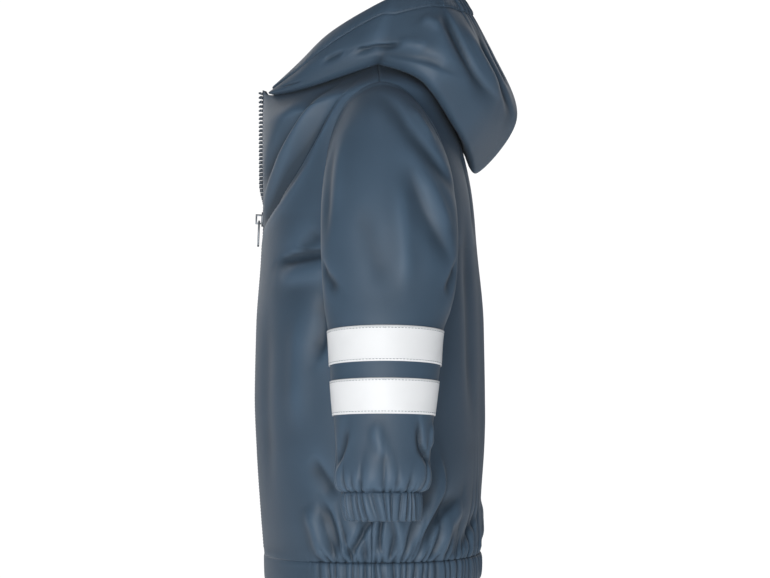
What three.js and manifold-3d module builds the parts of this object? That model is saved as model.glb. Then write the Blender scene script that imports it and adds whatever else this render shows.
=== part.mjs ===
import * as THREE from "three";
import Module from "manifold-3d";
import { mergeVertices } from "three/addons/utils/BufferGeometryUtils.js";

// A child's rain jacket, filled out as if worn, with its hood down and its zip half open.
// Millimetres, +Z up. The front faces -Y and the wearer's left side is +X.
// The origin lies on the shoulder line, in the middle of the neck base.
// turn is the angle round the body in degrees: 0 is the centre front, 90 the left side, 180 the back.
// level is the height up the side of the body, which runs on along the shoulder seam to the neckline.

// Cloth and seams
const CLOTH = 1.6;
const SEAM_GAP = 0.4;
const SEAM_TURN = 0.09;
const HEM_BOTTOM = -454;
const HEM_SEAM = -432;
const NECK_LEVEL = 48;

// Zip
const ZIP_EDGE = 6.2;
const SLIDER_Z = -133.5;
const V_TOP_Z = -20;
const V_HALF = 11;
const DIVIDER = 2.2;
const TEETH_TILT = 35;
const TEETH_BOTTOM = -440;
const TAPE_COLUMNS = [3.5, 6.2, 13.5];
const TEETH_COLUMNS = [0.25, 3.1];
const TEETH_FRONT = 0.2;
const TAPE_FRONT = 2.1;
const TAPE_BACK = 2.9;
const ZIP_HEIGHTS = [-172, -158, -146, -140, -134, -130, -126, -120, -110, -98, -84, -68, -52, -38];
const SLIDER = {
  top: 5,
  bottom: 3.6,
  height: 13,
  plateThick: 1.3,
  frontFace: -0.2,
  backFace: 3.3,
  neckWidth: 1.6,
  neckLow: 4,
  neckHigh: 6.2,
  arch: { width: 3, height: 9, front: -7, holeBack: -1.9, holeFront: -5.6, holeHeight: 5.8 },
};
const TAB = { halfWidth: 3.4, armWidth: 1.5, thick: 1.6, length: 23, holeLength: 8.4, pivotY: -3.7, pivotZ: -1.7 };
const BOX = { width: 6, depth: 3.8, height: 10.5, backset: 1.4 };

// Armhole, as part of the body surface
const ARMHOLE = { top: -17.5, bottom: -160, front: 25, back: 38.5, steps: 11 };

// Body, a row for each level. The front, side and back each have their own height and reach.
// square is the power of the superellipse, and bow bends the line between front and side.
const BODY = table(
  ["level", "xSide", "ySide", "zSide", "yFront", "zFront", "yBack", "zBack", "square", "bow"],
  [
    [-454, 133, 2, -454, -94.5, -454, 97, -454, 2.3, 0],
    [-432, 134, 2, -432, -95, -432, 97.5, -432, 2.3, 0],
    [-400, 142, 2, -400, -97.2, -400, 99, -400, 2.3, 0],
    [-340, 149, 2, -340, -101.3, -340, 100.8, -340, 2.3, 0],
    [-290, 149, 2, -290, -103.5, -290, 100.8, -290, 2.35, 0],
    [-230, 146, 3, -230, -102.6, -230, 100, -230, 2.4, 0],
    [-170, 141, 6, -170, -98.2, -170, 97.2, -170, 2.5, 0],
    [-120, 137, 10, -120, -95.8, -125, 93.6, -120, 2.6, -0.4],
    [-70, 132, 13, -70, -95.5, -88, 84, -72, 2.6, -0.4],
    [-17.5, 124, 9, -17.5, -95.5, -52, 68, -28, 2.5, -0.2],
    [15, 92, 8, -4, -95.5, -35, 60, -10, 2.3, 0.4],
    [48, 61, 6, 9, -95.5, -24, 50, 5, 2.1, 0.9],
  ],
);
const BACK_BOW = -0.5;
const NECK_CORNER = { rise: 6, width: 16, depth: 30 };

// Creases in the body cloth. Each runs between two places, bowed sideways by bow millimetres.
// A positive depth is a ridge and a negative one a trough. One degree of turn counts as 2.2 mm.
const BODY_FOLDS = table(
  ["fromTurn", "fromLevel", "toTurn", "toLevel", "bow", "width", "depth"],
  [
    [76, 6, 12, -116, 12, 9, -5],
    [80, -18, 10, -154, -10, 10, -6],
    [66, -162, 46, -171, -2, 7, -3.4],
    [64, -179, 42, -184, 0, 9, 3],
    [88, -190, 74, -262, 0, 11, -2.5],
    [30, -200, 34, -380, 0, 16, 2.2],
    [60, -240, 52, -390, 4, 14, -2.4],
    [-74, 4, -12, -110, 10, 9, -4.5],
    [-80, -22, -10, -158, -12, 10, -5.5],
    [-64, -168, -44, -178, 2, 6, -3],
    [-84, -200, -70, -280, 0, 12, -2.5],
    [-34, -210, -30, -370, 0, 16, 2.2],
    [-58, -250, -50, -395, -4, 14, -2.2],
    [146, -120, 152, -330, 4, 14, -3],
    [120, -170, 116, -390, 0, 15, 2.8],
    [172, -150, 176, -400, 3, 17, 2.6],
    [-152, -110, -158, -300, 4, 14, -3],
    [-122, -180, -120, -380, 0, 15, 2.8],
    [104, -196, 108, -290, 0, 9, -2.2],
    [-106, -204, -110, -310, 0, 9, -2.2],
  ],
);
const TURN_MM = 2.2;
const EDGE_ROOM = 1.6;

// Gathered hem: the front is smooth up to this turn, and the gathers run round from there.
const HEM_SMOOTH_TURN = 60;
const HEM_PITCH_TURN = 4;
const HEM_GATHER = 1.3;
const HEM_THICK = 2.6;

// Sleeve sections from the armhole to the end of the cuff. Each is an ellipse through an inner point
// near the body, an outer point, and a front and a back reach.
const SLEEVE = table(
  ["name", "xIn", "zIn", "xOut", "zOut", "yFront", "yBack"],
  [
    ["cap", 143.5, -163, 148, -28, -37, 66],
    ["upper", 147.5, -166, 172, -46, -39, 71],
    ["upper", 150.5, -171, 191, -73, -40.5, 74],
    ["upper", 152.5, -178, 205, -104, -41, 75.5],
    ["upper", 154, -190, 214, -137, -41, 75.5],
    ["elbow", 156, -208, 219, -171, -40, 74],
    ["elbow", 158.5, -226, 222.5, -200, -38, 69],
    ["band", 161, -238, 226, -226, -34.8, 62.5],
    ["band", 164, -266, 228, -256, -32.8, 60.3],
    ["band", 166, -278.5, 229, -270, -32, 58.8],
    ["band", 169, -306, 230, -300, -29.7, 55.2],
    ["wrist", 172, -335, 230.5, -330, -27.5, 51.5],
    ["wrist", 176, -356, 229, -352, -26, 49],
    ["seam", 179, -369, 226, -366, -24, 45],
    ["cuff", 180, -380, 225.5, -378, -22.5, 44],
    ["end", 181, -392, 224, -391, -20.5, 44],
  ],
);
const CUFF_SEAM = 14;
const CUFF_END = 16;
const BANDS = [{ name: "upper", from: 8, to: 9 }, { name: "lower", from: 10, to: 11 }];
const BAND_CLEAR = 0.35;
const BAND_THICK = 1.1;
const CUFF_GATHERS = 26;
const CUFF_GATHER = 1.4;
const CUFF_THICK = 2.4;

// Creases in a sleeve. angle runs round it from the shoulder over the front, and row counts sections.
const SLEEVE_FOLDS = table(
  ["side", "fromAngle", "fromRow", "toAngle", "toRow", "width", "depth"],
  [
    [1, 10, 0.8, -62, 3.6, 7, -3.5],
    [1, 14, 2.2, -70, 6.4, 8, -3.5],
    [1, 60, 1.6, 66, 5.2, 8, -3],
    [1, 28, 4.6, -4, 7.2, 9, 2.5],
    [1, 84, 5.4, 50, 6.8, 6, -2.5],
    [1, -60, 6.8, -84, 5.2, 7, -2.5],
    [1, -8, 11.2, -66, 12.8, 6, -2.6],
    [1, -70, 12.1, -92, 13.4, 4, -3],
    [1, 42, 11.3, 76, 12.8, 6, -2.2],
    [-1, 6, 1, -58, 4, 7, -3.5],
    [-1, 20, 2.6, -64, 6.6, 8, -3.2],
    [-1, 64, 1.8, 70, 5.6, 8, -3],
    [-1, 30, 4.8, 2, 7.1, 9, 2.4],
    [-1, 80, 5.8, 44, 6.9, 6, -2.4],
    [-1, -14, 11.3, -60, 12.6, 6, -2.6],
    [-1, 40, 11.4, 70, 13, 6, -2.2],
  ],
);
const ANGLE_MM = 0.95;
const ROW_MM = 27;

// Hood ribs from the front corner round to the middle of the back. Each leaves the neckline at turn,
// lies on the body down to the fold, and rises from there to the rim. low and high puff it outwards.
const HOOD = table(
  ["turn", "foldTurn", "foldLevel", "roll", "low", "high", "xRim", "yRim", "zRim"],
  [
    [24, 25, 43.5, 2.6, 0.5, 0.5, 31, -82, -13.5],
    [36, 38, 39, 3, 2, 1, 46, -60, 7],
    [53, 56, 32, 4, 5, 4, 64, -38.5, 27],
    [72, 74, 24, 5, 8, 7, 80, -5.8, 47],
    [90, 90, 14, 6, 11, 9, 87.5, 24, 61],
    [116, 124, -15, 8, 17, 14, 80, 53, 68],
    [142, 147, -60, 8.5, 28, 22, 55, 69, 68.5],
    [180, 180, -93, 7, 41, 29, 0, 76.5, 72],
  ],
);
const HOOD_CLEAR = { least: 1.2, perRoll: 0.36 };
const HOOD_FRONT_TURN = 24;
const CASING_DEPTH = 22;
const CASING_THICK = 3;
const CASING_SMOOTH_TURN = 148;
const CASING_GATHERS = 9;
const CASING_GATHER = 1.5;

// Creases in the hood. row counts the control points of a rib from the neckline to the rim.
const HOOD_FOLDS = table(
  ["fromTurn", "fromRow", "toTurn", "toRow", "width", "depth"],
  [
    [150, 7.7, 158, 6.2, 7, -4],
    [166, 7.6, 172, 6.3, 6, -4],
    [76, 6.2, 116, 6.4, 8, -2.6],
    [96, 6.9, 132, 7, 8, 2.4],
  ],
);
const HOOD_TURN_MM = 1.5;
const HOOD_ROW_MM = 34;

// Small helpers
function table(columns, rows) {
  return rows.map((row) => Object.fromEntries(columns.map((name, i) => [name, row[i]])));
}

function radians(degrees) {
  return (degrees * Math.PI) / 180;
}

function smooth(value) {
  const t = Math.min(Math.max(value, 0), 1);
  return t * t * (3 - 2 * t);
}

function range(from, to, steps) {
  return Array.from({ length: steps + 1 }, (_, i) => from + ((to - from) * i) / steps);
}

// A smooth curve through each number column of a table, which never overshoots its rows
function sampler(rows, key) {
  const x = rows.map((row) => row[key]);
  const names = Object.keys(rows[0]).filter((name) => typeof rows[0][name] === "number");
  const curves = names.map((name) => {
    const y = rows.map((row) => row[name]);
    const slopes = range(0, x.length - 2, x.length - 2).map((i) => (y[i + 1] - y[i]) / (x[i + 1] - x[i]));
    const tangents = y.map((_, i) => {
      if (i === 0) return slopes[0];
      if (i === y.length - 1) return slopes[i - 1];
      if (slopes[i - 1] * slopes[i] <= 0) return 0;
      return (2 * slopes[i - 1] * slopes[i]) / (slopes[i - 1] + slopes[i]);
    });
    return { name, y, tangents };
  });
  return (at) => {
    let i = 0;
    while (i < x.length - 2 && at > x[i + 1]) i += 1;
    const width = x[i + 1] - x[i];
    const t = (at - x[i]) / width;
    const result = {};
    for (const { name, y, tangents } of curves) {
      const start = y[i] * (1 + 2 * t) * (1 - t) ** 2 + tangents[i] * width * t * (1 - t) ** 2;
      const end = y[i + 1] * t ** 2 * (3 - 2 * t) + tangents[i + 1] * width * t ** 2 * (t - 1);
      result[name] = start + end;
    }
    return result;
  };
}

// How far a crease lifts the cloth at a place that lies (across, along) millimetres from its start,
// where the crease itself runs by (runAcross, runAlong)
function creaseLift(across, along, runAcross, runAlong, fold) {
  const length = Math.hypot(runAcross, runAlong);
  const ahead = (across * runAcross + along * runAlong) / length;
  const beside = (across * runAlong - along * runAcross) / length;
  const part = Math.min(Math.max(ahead / length, 0), 1);
  const bend = (fold.bow ?? 0) * 4 * part * (1 - part);
  const beyond = Math.max(-ahead, ahead - length, 0);
  const distance = Math.hypot(beside - bend, beyond * 0.8) / fold.width;
  return fold.depth * Math.exp(-distance * distance) * (0.45 + 0.55 * Math.sin(Math.PI * part));
}

// The outward normal of a surface(a, b) whose a runs round the piece and b runs up it
function normalOf(surface, a, b, stepA, stepB) {
  const round = surface(a + stepA, b).sub(surface(a - stepA, b));
  const up = surface(a, b + stepB).sub(surface(a, b - stepB));
  return round.cross(up).normalize();
}

function moved(point, direction, distance) {
  return point.clone().addScaledVector(direction, distance);
}

// Body surface
const bodyAt = sampler(BODY, "level");

function vSpread(z) {
  const above = z - SLIDER_Z;
  if (above <= 0) return 0;
  return DIVIDER * smooth(above / 7) + V_HALF * (above / (V_TOP_Z - SLIDER_Z)) ** 1.3;
}

function bodyBase(turn, level) {
  const row = bodyAt(level);
  const sin = Math.sin(radians(turn));
  const cos = Math.cos(radians(turn));
  const reach = (Math.abs(sin) ** row.square + Math.abs(cos) ** row.square) ** (-1 / row.square);
  const along = Math.abs(cos) * reach;
  const front = cos > 0;
  const yEnd = front ? row.yFront : row.yBack;
  const zEnd = front ? row.zFront : row.zBack;
  const bow = front ? row.bow : BACK_BOW;
  const x = row.xSide * sin * reach;
  const y = row.ySide + (yEnd - row.ySide) * along;
  const corner = NECK_CORNER.rise * Math.exp(-((x / NECK_CORNER.width) ** 2));
  const cornerPart = front ? smooth(1 - (NECK_LEVEL - level) / NECK_CORNER.depth) : 0;
  const z = row.zSide + (zEnd - row.zSide) * along * (1 + bow * (1 - along)) + corner * cornerPart;
  const spread = front ? vSpread(z) * Math.exp(-Math.abs(x) / 90) * along : 0;
  return new THREE.Vector3(x + Math.sign(x) * spread, y, z);
}

function turnBetween(from, to) {
  return ((to - from + 540) % 360) - 180;
}

function bodyLift(turn, level) {
  let lift = 0;
  for (const fold of BODY_FOLDS) {
    const across = turnBetween(fold.fromTurn, turn) * TURN_MM;
    const run = turnBetween(fold.fromTurn, fold.toTurn) * TURN_MM;
    lift += creaseLift(across, level - fold.fromLevel, run, fold.toLevel - fold.fromLevel, fold);
  }
  const neckFade = smooth((NECK_LEVEL - level) / 40);
  const hemFade = smooth((level - HEM_SEAM + 4) / 50);
  return lift * neckFade * hemFade;
}

function body(turn, level) {
  const normal = normalOf(bodyBase, turn, level, 0.5, 1);
  return moved(bodyBase(turn, level), normal, bodyLift(turn, level));
}

function bodyNormal(turn, level) {
  return normalOf(body, turn, level, 0.8, 1.5);
}

function bodyPoint(turn, level, u, lift = 0) {
  const normal = bodyNormal(turn, level);
  const outer = moved(body(turn, level), normal, lift);
  return { u, outer, inner: moved(outer, normal, -CLOTH) };
}

// The turn at which the front surface reaches x before the zip opens it
function turnAtX(x, level) {
  return (Math.asin(x / bodyAt(level).xSide) * 180) / Math.PI;
}

// Closed walls from rows of outer and inner points. Rows may differ in their number of points.
// rising turns the diagonals of the mesh the other way, along creases that rise with the columns.
function wallGeometry(rows, { ring = false, rising = false } = {}) {
  const outer = [];
  const inner = [];
  const strips = rows.map((row) => {
    const first = outer.length;
    const count = ring ? row.length - 1 : row.length;
    for (const point of row.slice(0, count)) {
      outer.push(point.outer);
      inner.push(point.inner);
    }
    return row.map((point, i) => ({ u: point.u, id: first + (i % count) }));
  });
  const faces = [];
  const tie = rising ? -1e-6 : 1e-6;
  for (let r = 0; r + 1 < strips.length; r += 1) {
    const below = strips[r];
    const above = strips[r + 1];
    let i = 0;
    let j = 0;
    while (i < below.length - 1 || j < above.length - 1) {
      const canBelow = i < below.length - 1;
      const canAbove = j < above.length - 1;
      if (canBelow && (!canAbove || below[i + 1].u < above[j + 1].u + tie)) {
        faces.push([below[i].id, below[i + 1].id, above[j].id]);
        i += 1;
      } else {
        faces.push([below[i].id, above[j + 1].id, above[j].id]);
        j += 1;
      }
    }
  }
  const edges = new Set();
  for (const [a, b, c] of faces) {
    edges.add(`${a},${b}`).add(`${b},${c}`).add(`${c},${a}`);
  }
  const shift = outer.length;
  const index = faces.flat();
  for (const [a, b, c] of faces) {
    index.push(c + shift, b + shift, a + shift);
  }
  for (const edge of edges) {
    const [a, b] = edge.split(",").map(Number);
    if (!edges.has(`${b},${a}`)) {
      index.push(b, a, a + shift, b, a + shift, b + shift);
    }
  }
  const positions = [...outer, ...inner].flatMap((point) => point.toArray());
  const geometry = new THREE.BufferGeometry();
  geometry.setAttribute("position", new THREE.Float32BufferAttribute(positions, 3));
  geometry.setIndex(index);
  geometry.computeVertexNormals();
  return geometry;
}

// A row for the other side of the coat keeps its columns in the order of growing turn
function reversed(row) {
  return [...row].reverse().map((point) => ({ ...point, u: 1 - point.u }));
}

function mirrored(row) {
  const flip = (point) => new THREE.Vector3(-point.x, point.y, point.z);
  return reversed(row).map((point) => ({ ...point, outer: flip(point.outer), inner: flip(point.inner) }));
}

// Materials
const cloth = (color) => new THREE.MeshStandardMaterial({ color, roughness: 0.55, metalness: 0 });
const SHELL_CLOTH = cloth(0x48566a);
const HOOD_CLOTH = cloth(0x50606e);
const GATHER_CLOTH = cloth(0x46556a);
const REFLECTIVE = new THREE.MeshStandardMaterial({ color: 0xefefef, roughness: 0.4, metalness: 0 });
const TAPE = cloth(0x323d4c);
const TEETH = new THREE.MeshStandardMaterial({ color: 0x3c4653, roughness: 0.45, metalness: 0 });
const METAL = new THREE.MeshStandardMaterial({ color: 0x7d838a, roughness: 0.3, metalness: 0.9 });

const coat = new THREE.Group();

function add(name, geometry, material) {
  const mesh = new THREE.Mesh(geometry, material);
  mesh.name = name;
  coat.add(mesh);
  return mesh;
}

// Body panels
const armholeMiddle = (ARMHOLE.top + ARMHOLE.bottom) / 2;
const armholeHalf = (ARMHOLE.top - ARMHOLE.bottom) / 2;
const armholeLevels = range(0, ARMHOLE.steps, ARMHOLE.steps).map(
  (k) => armholeMiddle - armholeHalf * Math.cos((Math.PI * k) / ARMHOLE.steps),
);
const gatherLevels = [HEM_SEAM, -420];
const lowerLevels = [-394, -356, -316, -276, -238, -204, -176];
const upperLevels = [1, 22, NECK_LEVEL];
const panelLevels = [...gatherLevels, ...lowerLevels, ...armholeLevels, ...upperLevels];

function armholeWidth(level, width) {
  const height = (level - armholeMiddle) / armholeHalf;
  if (Math.abs(height) >= 1) return 0;
  return width * Math.sqrt(1 - height * height);
}

// Turns of the hem columns between two turns, two for each gather where the hem is gathered
function gatherTurns(from, to) {
  const steps = Math.round((to - from) / HEM_PITCH_TURN) * 2;
  return range(from, to, steps);
}

const frontTurns = range(0, 90, 16);
const backTurns = range(90, 270, 24);
const frontHemTurns = [...range(0, HEM_SMOOTH_TURN, 6).slice(0, -1), ...gatherTurns(HEM_SMOOTH_TURN, 90)];

function gatherAt(turn, column, amount) {
  const fade = smooth((Math.abs(turnBetween(0, turn)) - HEM_SMOOTH_TURN + 4) / 12);
  return amount * fade * (column % 2 === 0 ? -1 : 1);
}

// Columns stand at fixed turns, and the edge points close a row at its seam or armhole
function turnsBetween(columns, first, last) {
  const kept = columns.filter((turn) => turn > first + EDGE_ROOM && turn < last - EDGE_ROOM);
  return [first, ...kept, last];
}

function frontRow(side, level) {
  const first = turnAtX(ZIP_EDGE, level);
  const last = 90 - Math.max(SEAM_TURN, armholeWidth(level, ARMHOLE.front));
  const gather = gatherLevels.indexOf(level);
  const columns = gather >= 0 ? frontHemTurns : frontTurns;
  const row = turnsBetween(columns, first, last).map((turn, column) => {
    const lift = gather >= 0 ? gatherAt(turn, column, HEM_GATHER / (1 + gather)) : 0;
    return bodyPoint(side * turn, level, turn / 90, lift);
  });
  return side > 0 ? row : reversed(row);
}

function backRow(level) {
  const inset = Math.max(SEAM_TURN, armholeWidth(level, ARMHOLE.back));
  const gather = gatherLevels.indexOf(level);
  const columns = gather >= 0 ? gatherTurns(90, 270) : backTurns;
  return turnsBetween(columns, 90 + inset, 270 - inset).map((turn, column) => {
    const lift = gather >= 0 ? gatherAt(turn, column, HEM_GATHER / (1 + gather)) : 0;
    return bodyPoint(turn, level, turn, lift);
  });
}

const frontLeftRows = panelLevels.map((level) => frontRow(1, level));
add("front_left", wallGeometry(frontLeftRows, { rising: true }), SHELL_CLOTH);
add("front_right", wallGeometry(panelLevels.map((level) => frontRow(-1, level))), SHELL_CLOTH);
add("back", wallGeometry(panelLevels.map((level) => backRow(level))), SHELL_CLOTH);

// Hem casing, gathered outside over a plain inside
const hemLevels = [HEM_BOTTOM, -444, HEM_SEAM - SEAM_GAP];
const hemBulge = [0.4, 1.2, 0.2];

function hemRow(turns, side, level, bulge) {
  const row = turns.map((turn, column) => {
    const normal = bodyNormal(side * turn, level);
    const surface = bodyBase(side * turn, level);
    const lift = bulge + gatherAt(turn, column, HEM_GATHER);
    return {
      u: (turn - turns[0]) / (turns[turns.length - 1] - turns[0]),
      outer: moved(surface, normal, lift),
      inner: moved(surface, normal, -CLOTH - (HEM_THICK - CLOTH) * Math.abs(gatherAt(turn, column, 1))),
    };
  });
  return side > 0 ? row : reversed(row);
}

function hemRows(side, from, to, turns) {
  const start = turns[0];
  const end = turns[turns.length - 1];
  return hemLevels.map((level, i) => {
    const placed = turns.map((turn) => from(level) + ((to - from(level)) * (turn - start)) / (end - start));
    return hemRow(placed, side, level, hemBulge[i]);
  });
}

const zipTurn = (level) => turnAtX(ZIP_EDGE, level);
add("hem_front_left", wallGeometry(hemRows(1, zipTurn, 90 - SEAM_TURN, frontHemTurns)), GATHER_CLOTH);
add("hem_front_right", wallGeometry(hemRows(-1, zipTurn, 90 - SEAM_TURN, frontHemTurns)), GATHER_CLOTH);
const backHemRows = hemRows(1, () => 90 + SEAM_TURN, 270 - SEAM_TURN, gatherTurns(90, 270));
add("hem_back", wallGeometry(backHemRows), GATHER_CLOTH);

// Sleeves
// Both sleeves are worked out on the left, so the right armhole's edge is mirrored first
function armholeEdge(side, angle) {
  const forward = Math.sin(radians(angle)) > 0;
  const width = forward ? -ARMHOLE.front : -ARMHOLE.back;
  const turn = 90 + width * Math.sin(radians(angle));
  const level = armholeMiddle + armholeHalf * Math.cos(radians(angle));
  const flip = new THREE.Vector3(side, 1, 1);
  return {
    point: body(side * turn, level).multiply(flip),
    normal: bodyNormal(side * turn, level).multiply(flip),
  };
}

// The sleeve starts a seam gap beyond the armhole edge, in line with the panel
function sleeveStart(side, angle) {
  const { point, normal } = armholeEdge(side, angle);
  const next = armholeEdge(side, angle + 0.5).point;
  const edge = next.sub(armholeEdge(side, angle - 0.5).point).normalize();
  return moved(point, normal.cross(edge).normalize(), SEAM_GAP);
}

function sleeveRing(section, angle) {
  const lean = Math.cos(radians(angle));
  const swing = -Math.sin(radians(angle));
  return new THREE.Vector3(
    (section.xIn + section.xOut) / 2 + ((section.xOut - section.xIn) / 2) * lean,
    (section.yFront + section.yBack) / 2 + ((section.yBack - section.yFront) / 2) * swing,
    (section.zIn + section.zOut) / 2 + ((section.zOut - section.zIn) / 2) * lean,
  );
}

const sleeveCurves = new Map();

function sleeveBase(side, angle, row) {
  const key = `${side} ${angle.toFixed(4)}`;
  if (!sleeveCurves.has(key)) {
    const points = [sleeveStart(side, angle), ...SLEEVE.map((section) => sleeveRing(section, angle))];
    sleeveCurves.set(key, new THREE.CatmullRomCurve3(points, false, "centripetal"));
  }
  const position = Math.min(Math.max(row / CUFF_END, 0), 1);
  return sleeveCurves.get(key).getPoint(position);
}

function sleeveLift(side, angle, row) {
  let lift = 0;
  for (const fold of SLEEVE_FOLDS.filter((entry) => entry.side === side)) {
    const across = turnBetween(fold.fromAngle, angle) * ANGLE_MM;
    const run = turnBetween(fold.fromAngle, fold.toAngle) * ANGLE_MM;
    const along = (row - fold.fromRow) * ROW_MM;
    lift += creaseLift(across, along, run, (fold.toRow - fold.fromRow) * ROW_MM, fold);
  }
  return lift * smooth((row - 0.2) / 1.2) * smooth((CUFF_SEAM - row) / 1.5);
}

function sleeve(side, angle, row) {
  const normal = normalOf((a, b) => sleeveBase(side, a, b), angle, row, 1, 0.02);
  return moved(sleeveBase(side, angle, row), normal, sleeveLift(side, angle, row));
}

function sleevePoint(side, angle, row, lift, thick, u) {
  const onSeam = row === 0;
  const slope = () => normalOf((a, b) => sleeve(side, a, b), angle, row, 1, 0.02);
  const normal = onSeam ? armholeEdge(side, angle).normal : slope();
  const surface = sleeve(side, angle, row);
  return { u, outer: moved(surface, normal, lift), inner: moved(surface, normal, lift - thick) };
}

function sleeveRow(side, row, columns, lift = 0, thick = CLOTH, gather = 0) {
  const points = range(0, 1, columns).map((u, column) => {
    const zigzag = gather * (column % 2 === 0 ? -1 : 1);
    return sleevePoint(side, 360 * u, row, lift + zigzag, thick, u);
  });
  return side > 0 ? points : mirrored(points);
}

const SLEEVE_COLUMNS = ARMHOLE.steps * 2;
const CUFF_COLUMNS = CUFF_GATHERS * 2;
const sleeveRows = [0, 0.5, 1, 1.6, 2.3, 3, 3.7, 4.4, 5.2, 6, 7, 8, 9, 10, 11, 12];

function sleeveWall(side) {
  const rows = sleeveRows.map((row) => sleeveRow(side, row, SLEEVE_COLUMNS));
  rows.push(sleeveRow(side, 13, CUFF_COLUMNS, 0.3, CLOTH, CUFF_GATHER * 0.5));
  rows.push(sleeveRow(side, CUFF_SEAM - 0.02, CUFF_COLUMNS, 0, CLOTH, CUFF_GATHER));
  return wallGeometry(rows, { ring: true, rising: side < 0 });
}

function cuffRow(side, row, bulge) {
  const plain = sleeveRow(side, row, CUFF_COLUMNS, 0, CUFF_THICK);
  const raised = sleeveRow(side, row, CUFF_COLUMNS, bulge, CUFF_THICK, CUFF_GATHER);
  return plain.map((point, i) => ({ ...point, outer: raised[i].outer }));
}

for (const [side, word] of [[1, "left"], [-1, "right"]]) {
  add(`sleeve_${word}`, sleeveWall(side), SHELL_CLOTH);
  const cuffRows = [cuffRow(side, CUFF_SEAM + 0.02, 0), cuffRow(side, 15, 1), cuffRow(side, CUFF_END, 0)];
  add(`cuff_${word}`, wallGeometry(cuffRows, { ring: true }), GATHER_CLOTH);
  for (const band of BANDS) {
    const out = BAND_CLEAR + BAND_THICK;
    const rows = [band.from, band.to].map((row) => sleeveRow(side, row, SLEEVE_COLUMNS, out, BAND_THICK));
    add(`band_${word}_${band.name}`, wallGeometry(rows, { ring: true }), REFLECTIVE);
  }
}

// Hood
const hoodAt = sampler(HOOD, "turn");
const hoodRibs = new Map();

function hoodRib(turn) {
  const key = turn.toFixed(4);
  if (hoodRibs.has(key)) return hoodRibs.get(key);
  const rib = hoodAt(turn);
  const edge = bodyBase(turn, NECK_LEVEL);
  const up = bodyBase(turn, NECK_LEVEL).sub(bodyBase(turn, NECK_LEVEL - 1)).normalize();
  const out = normalOf(bodyBase, turn, NECK_LEVEL, 0.5, 1);
  const onBody = (part, lift, rise = 0) => {
    const atTurn = turn + (rib.foldTurn - turn) * part;
    const level = NECK_LEVEL + (rib.foldLevel - NECK_LEVEL) * part + rise;
    return moved(bodyBase(atTurn, level), normalOf(bodyBase, atTurn, level, 0.8, 1.5), lift);
  };
  const clear = HOOD_CLEAR.least + HOOD_CLEAR.perRoll * rib.roll;
  const fold = onBody(1, clear + rib.roll);
  const rim = new THREE.Vector3(rib.xRim, rib.yRim, rib.zRim);
  const away = bodyNormal(rib.foldTurn, rib.foldLevel).setZ(0).normalize();
  const points = [
    moved(edge, up, SEAM_GAP * 1.5),
    moved(moved(edge, up, 2.1), out, 0.6),
    onBody(0.15, clear),
    onBody(0.5, clear),
    onBody(1, clear, rib.roll * 0.7),
    fold,
    moved(fold.clone().lerp(rim, 0.3), away, rib.low),
    moved(fold.clone().lerp(rim, 0.65), away, rib.high),
    rim,
  ];
  const curve = new THREE.CatmullRomCurve3(points, false, "centripetal");
  hoodRibs.set(key, curve);
  return curve;
}

const HOOD_FOLD = 5;
const HOOD_RIM = 8;

// The right half mirrors the left one, so turns past the middle of the back come from the other side
function hoodBase(turn, row) {
  const past = turn > 180;
  const point = hoodRib(past ? 360 - turn : turn).getPoint(Math.min(Math.max(row / HOOD_RIM, 0), 1));
  return past ? point.setX(-point.x) : point;
}

function hoodLift(turn, row) {
  const near = Math.min(turn, 360 - turn);
  let lift = 0;
  for (const fold of HOOD_FOLDS) {
    const across = turnBetween(fold.fromTurn, near) * HOOD_TURN_MM;
    const run = turnBetween(fold.fromTurn, fold.toTurn) * HOOD_TURN_MM;
    const along = (row - fold.fromRow) * HOOD_ROW_MM;
    lift += creaseLift(across, along, run, (fold.toRow - fold.fromRow) * HOOD_ROW_MM, fold);
  }
  return lift * smooth((row - HOOD_FOLD - 0.3) / 0.8);
}

function hood(turn, row) {
  const normal = normalOf(hoodBase, turn, row, 0.5, 0.02);
  return moved(hoodBase(turn, row), normal, hoodLift(turn, row));
}

function hoodPoint(turn, row, lift, thick, u) {
  const inside = Math.min(Math.max(row, 0.02), HOOD_RIM - 0.02);
  const normal = normalOf(hood, turn, inside, 0.8, 0.02);
  const surface = hood(turn, row);
  return { u, outer: moved(surface, normal, lift), inner: moved(surface, normal, lift - thick) };
}

// The row at which a rib is a given length short of its rim
function rowBelowRim(turn, depth) {
  const points = range(HOOD_RIM, HOOD_FOLD, 90).map((row) => hoodRib(turn).getPoint(row / HOOD_RIM));
  const lengths = [0];
  for (let i = 1; i < points.length; i += 1) {
    lengths.push(lengths[i - 1] + points[i].distanceTo(points[i - 1]));
  }
  const rise = lengths[lengths.length - 1];
  const wanted = depth * Math.min(1, rise / (CASING_DEPTH * 1.8));
  const after = lengths.findIndex((value) => value >= wanted);
  const part = (wanted - lengths[after - 1]) / (lengths[after] - lengths[after - 1]);
  return HOOD_RIM - ((after - 1 + part) * (HOOD_RIM - HOOD_FOLD)) / (points.length - 1);
}

const hoodTurns = [...range(HOOD_FRONT_TURN, 90, 8), ...range(97.5, CASING_SMOOTH_TURN, 5).slice(0, -1)];
const crownTurns = range(CASING_SMOOTH_TURN, 180, CASING_GATHERS * 2);
const halfTurns = [...hoodTurns, ...crownTurns];
const plainTurns = [...hoodTurns, ...range(CASING_SMOOTH_TURN, 180, 4)];
const hoodUnderRows = [0, 1, 2, 3, 4, 4.5, HOOD_FOLD];
const hoodOuterParts = [0.14, 0.3, 0.46, 0.62, 0.8];

function crownZigzag(turn, column, amount) {
  const fade = smooth((turn - CASING_SMOOTH_TURN + 2) / 10);
  return amount * fade * (column % 2 === 0 ? 1 : -1);
}

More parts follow.
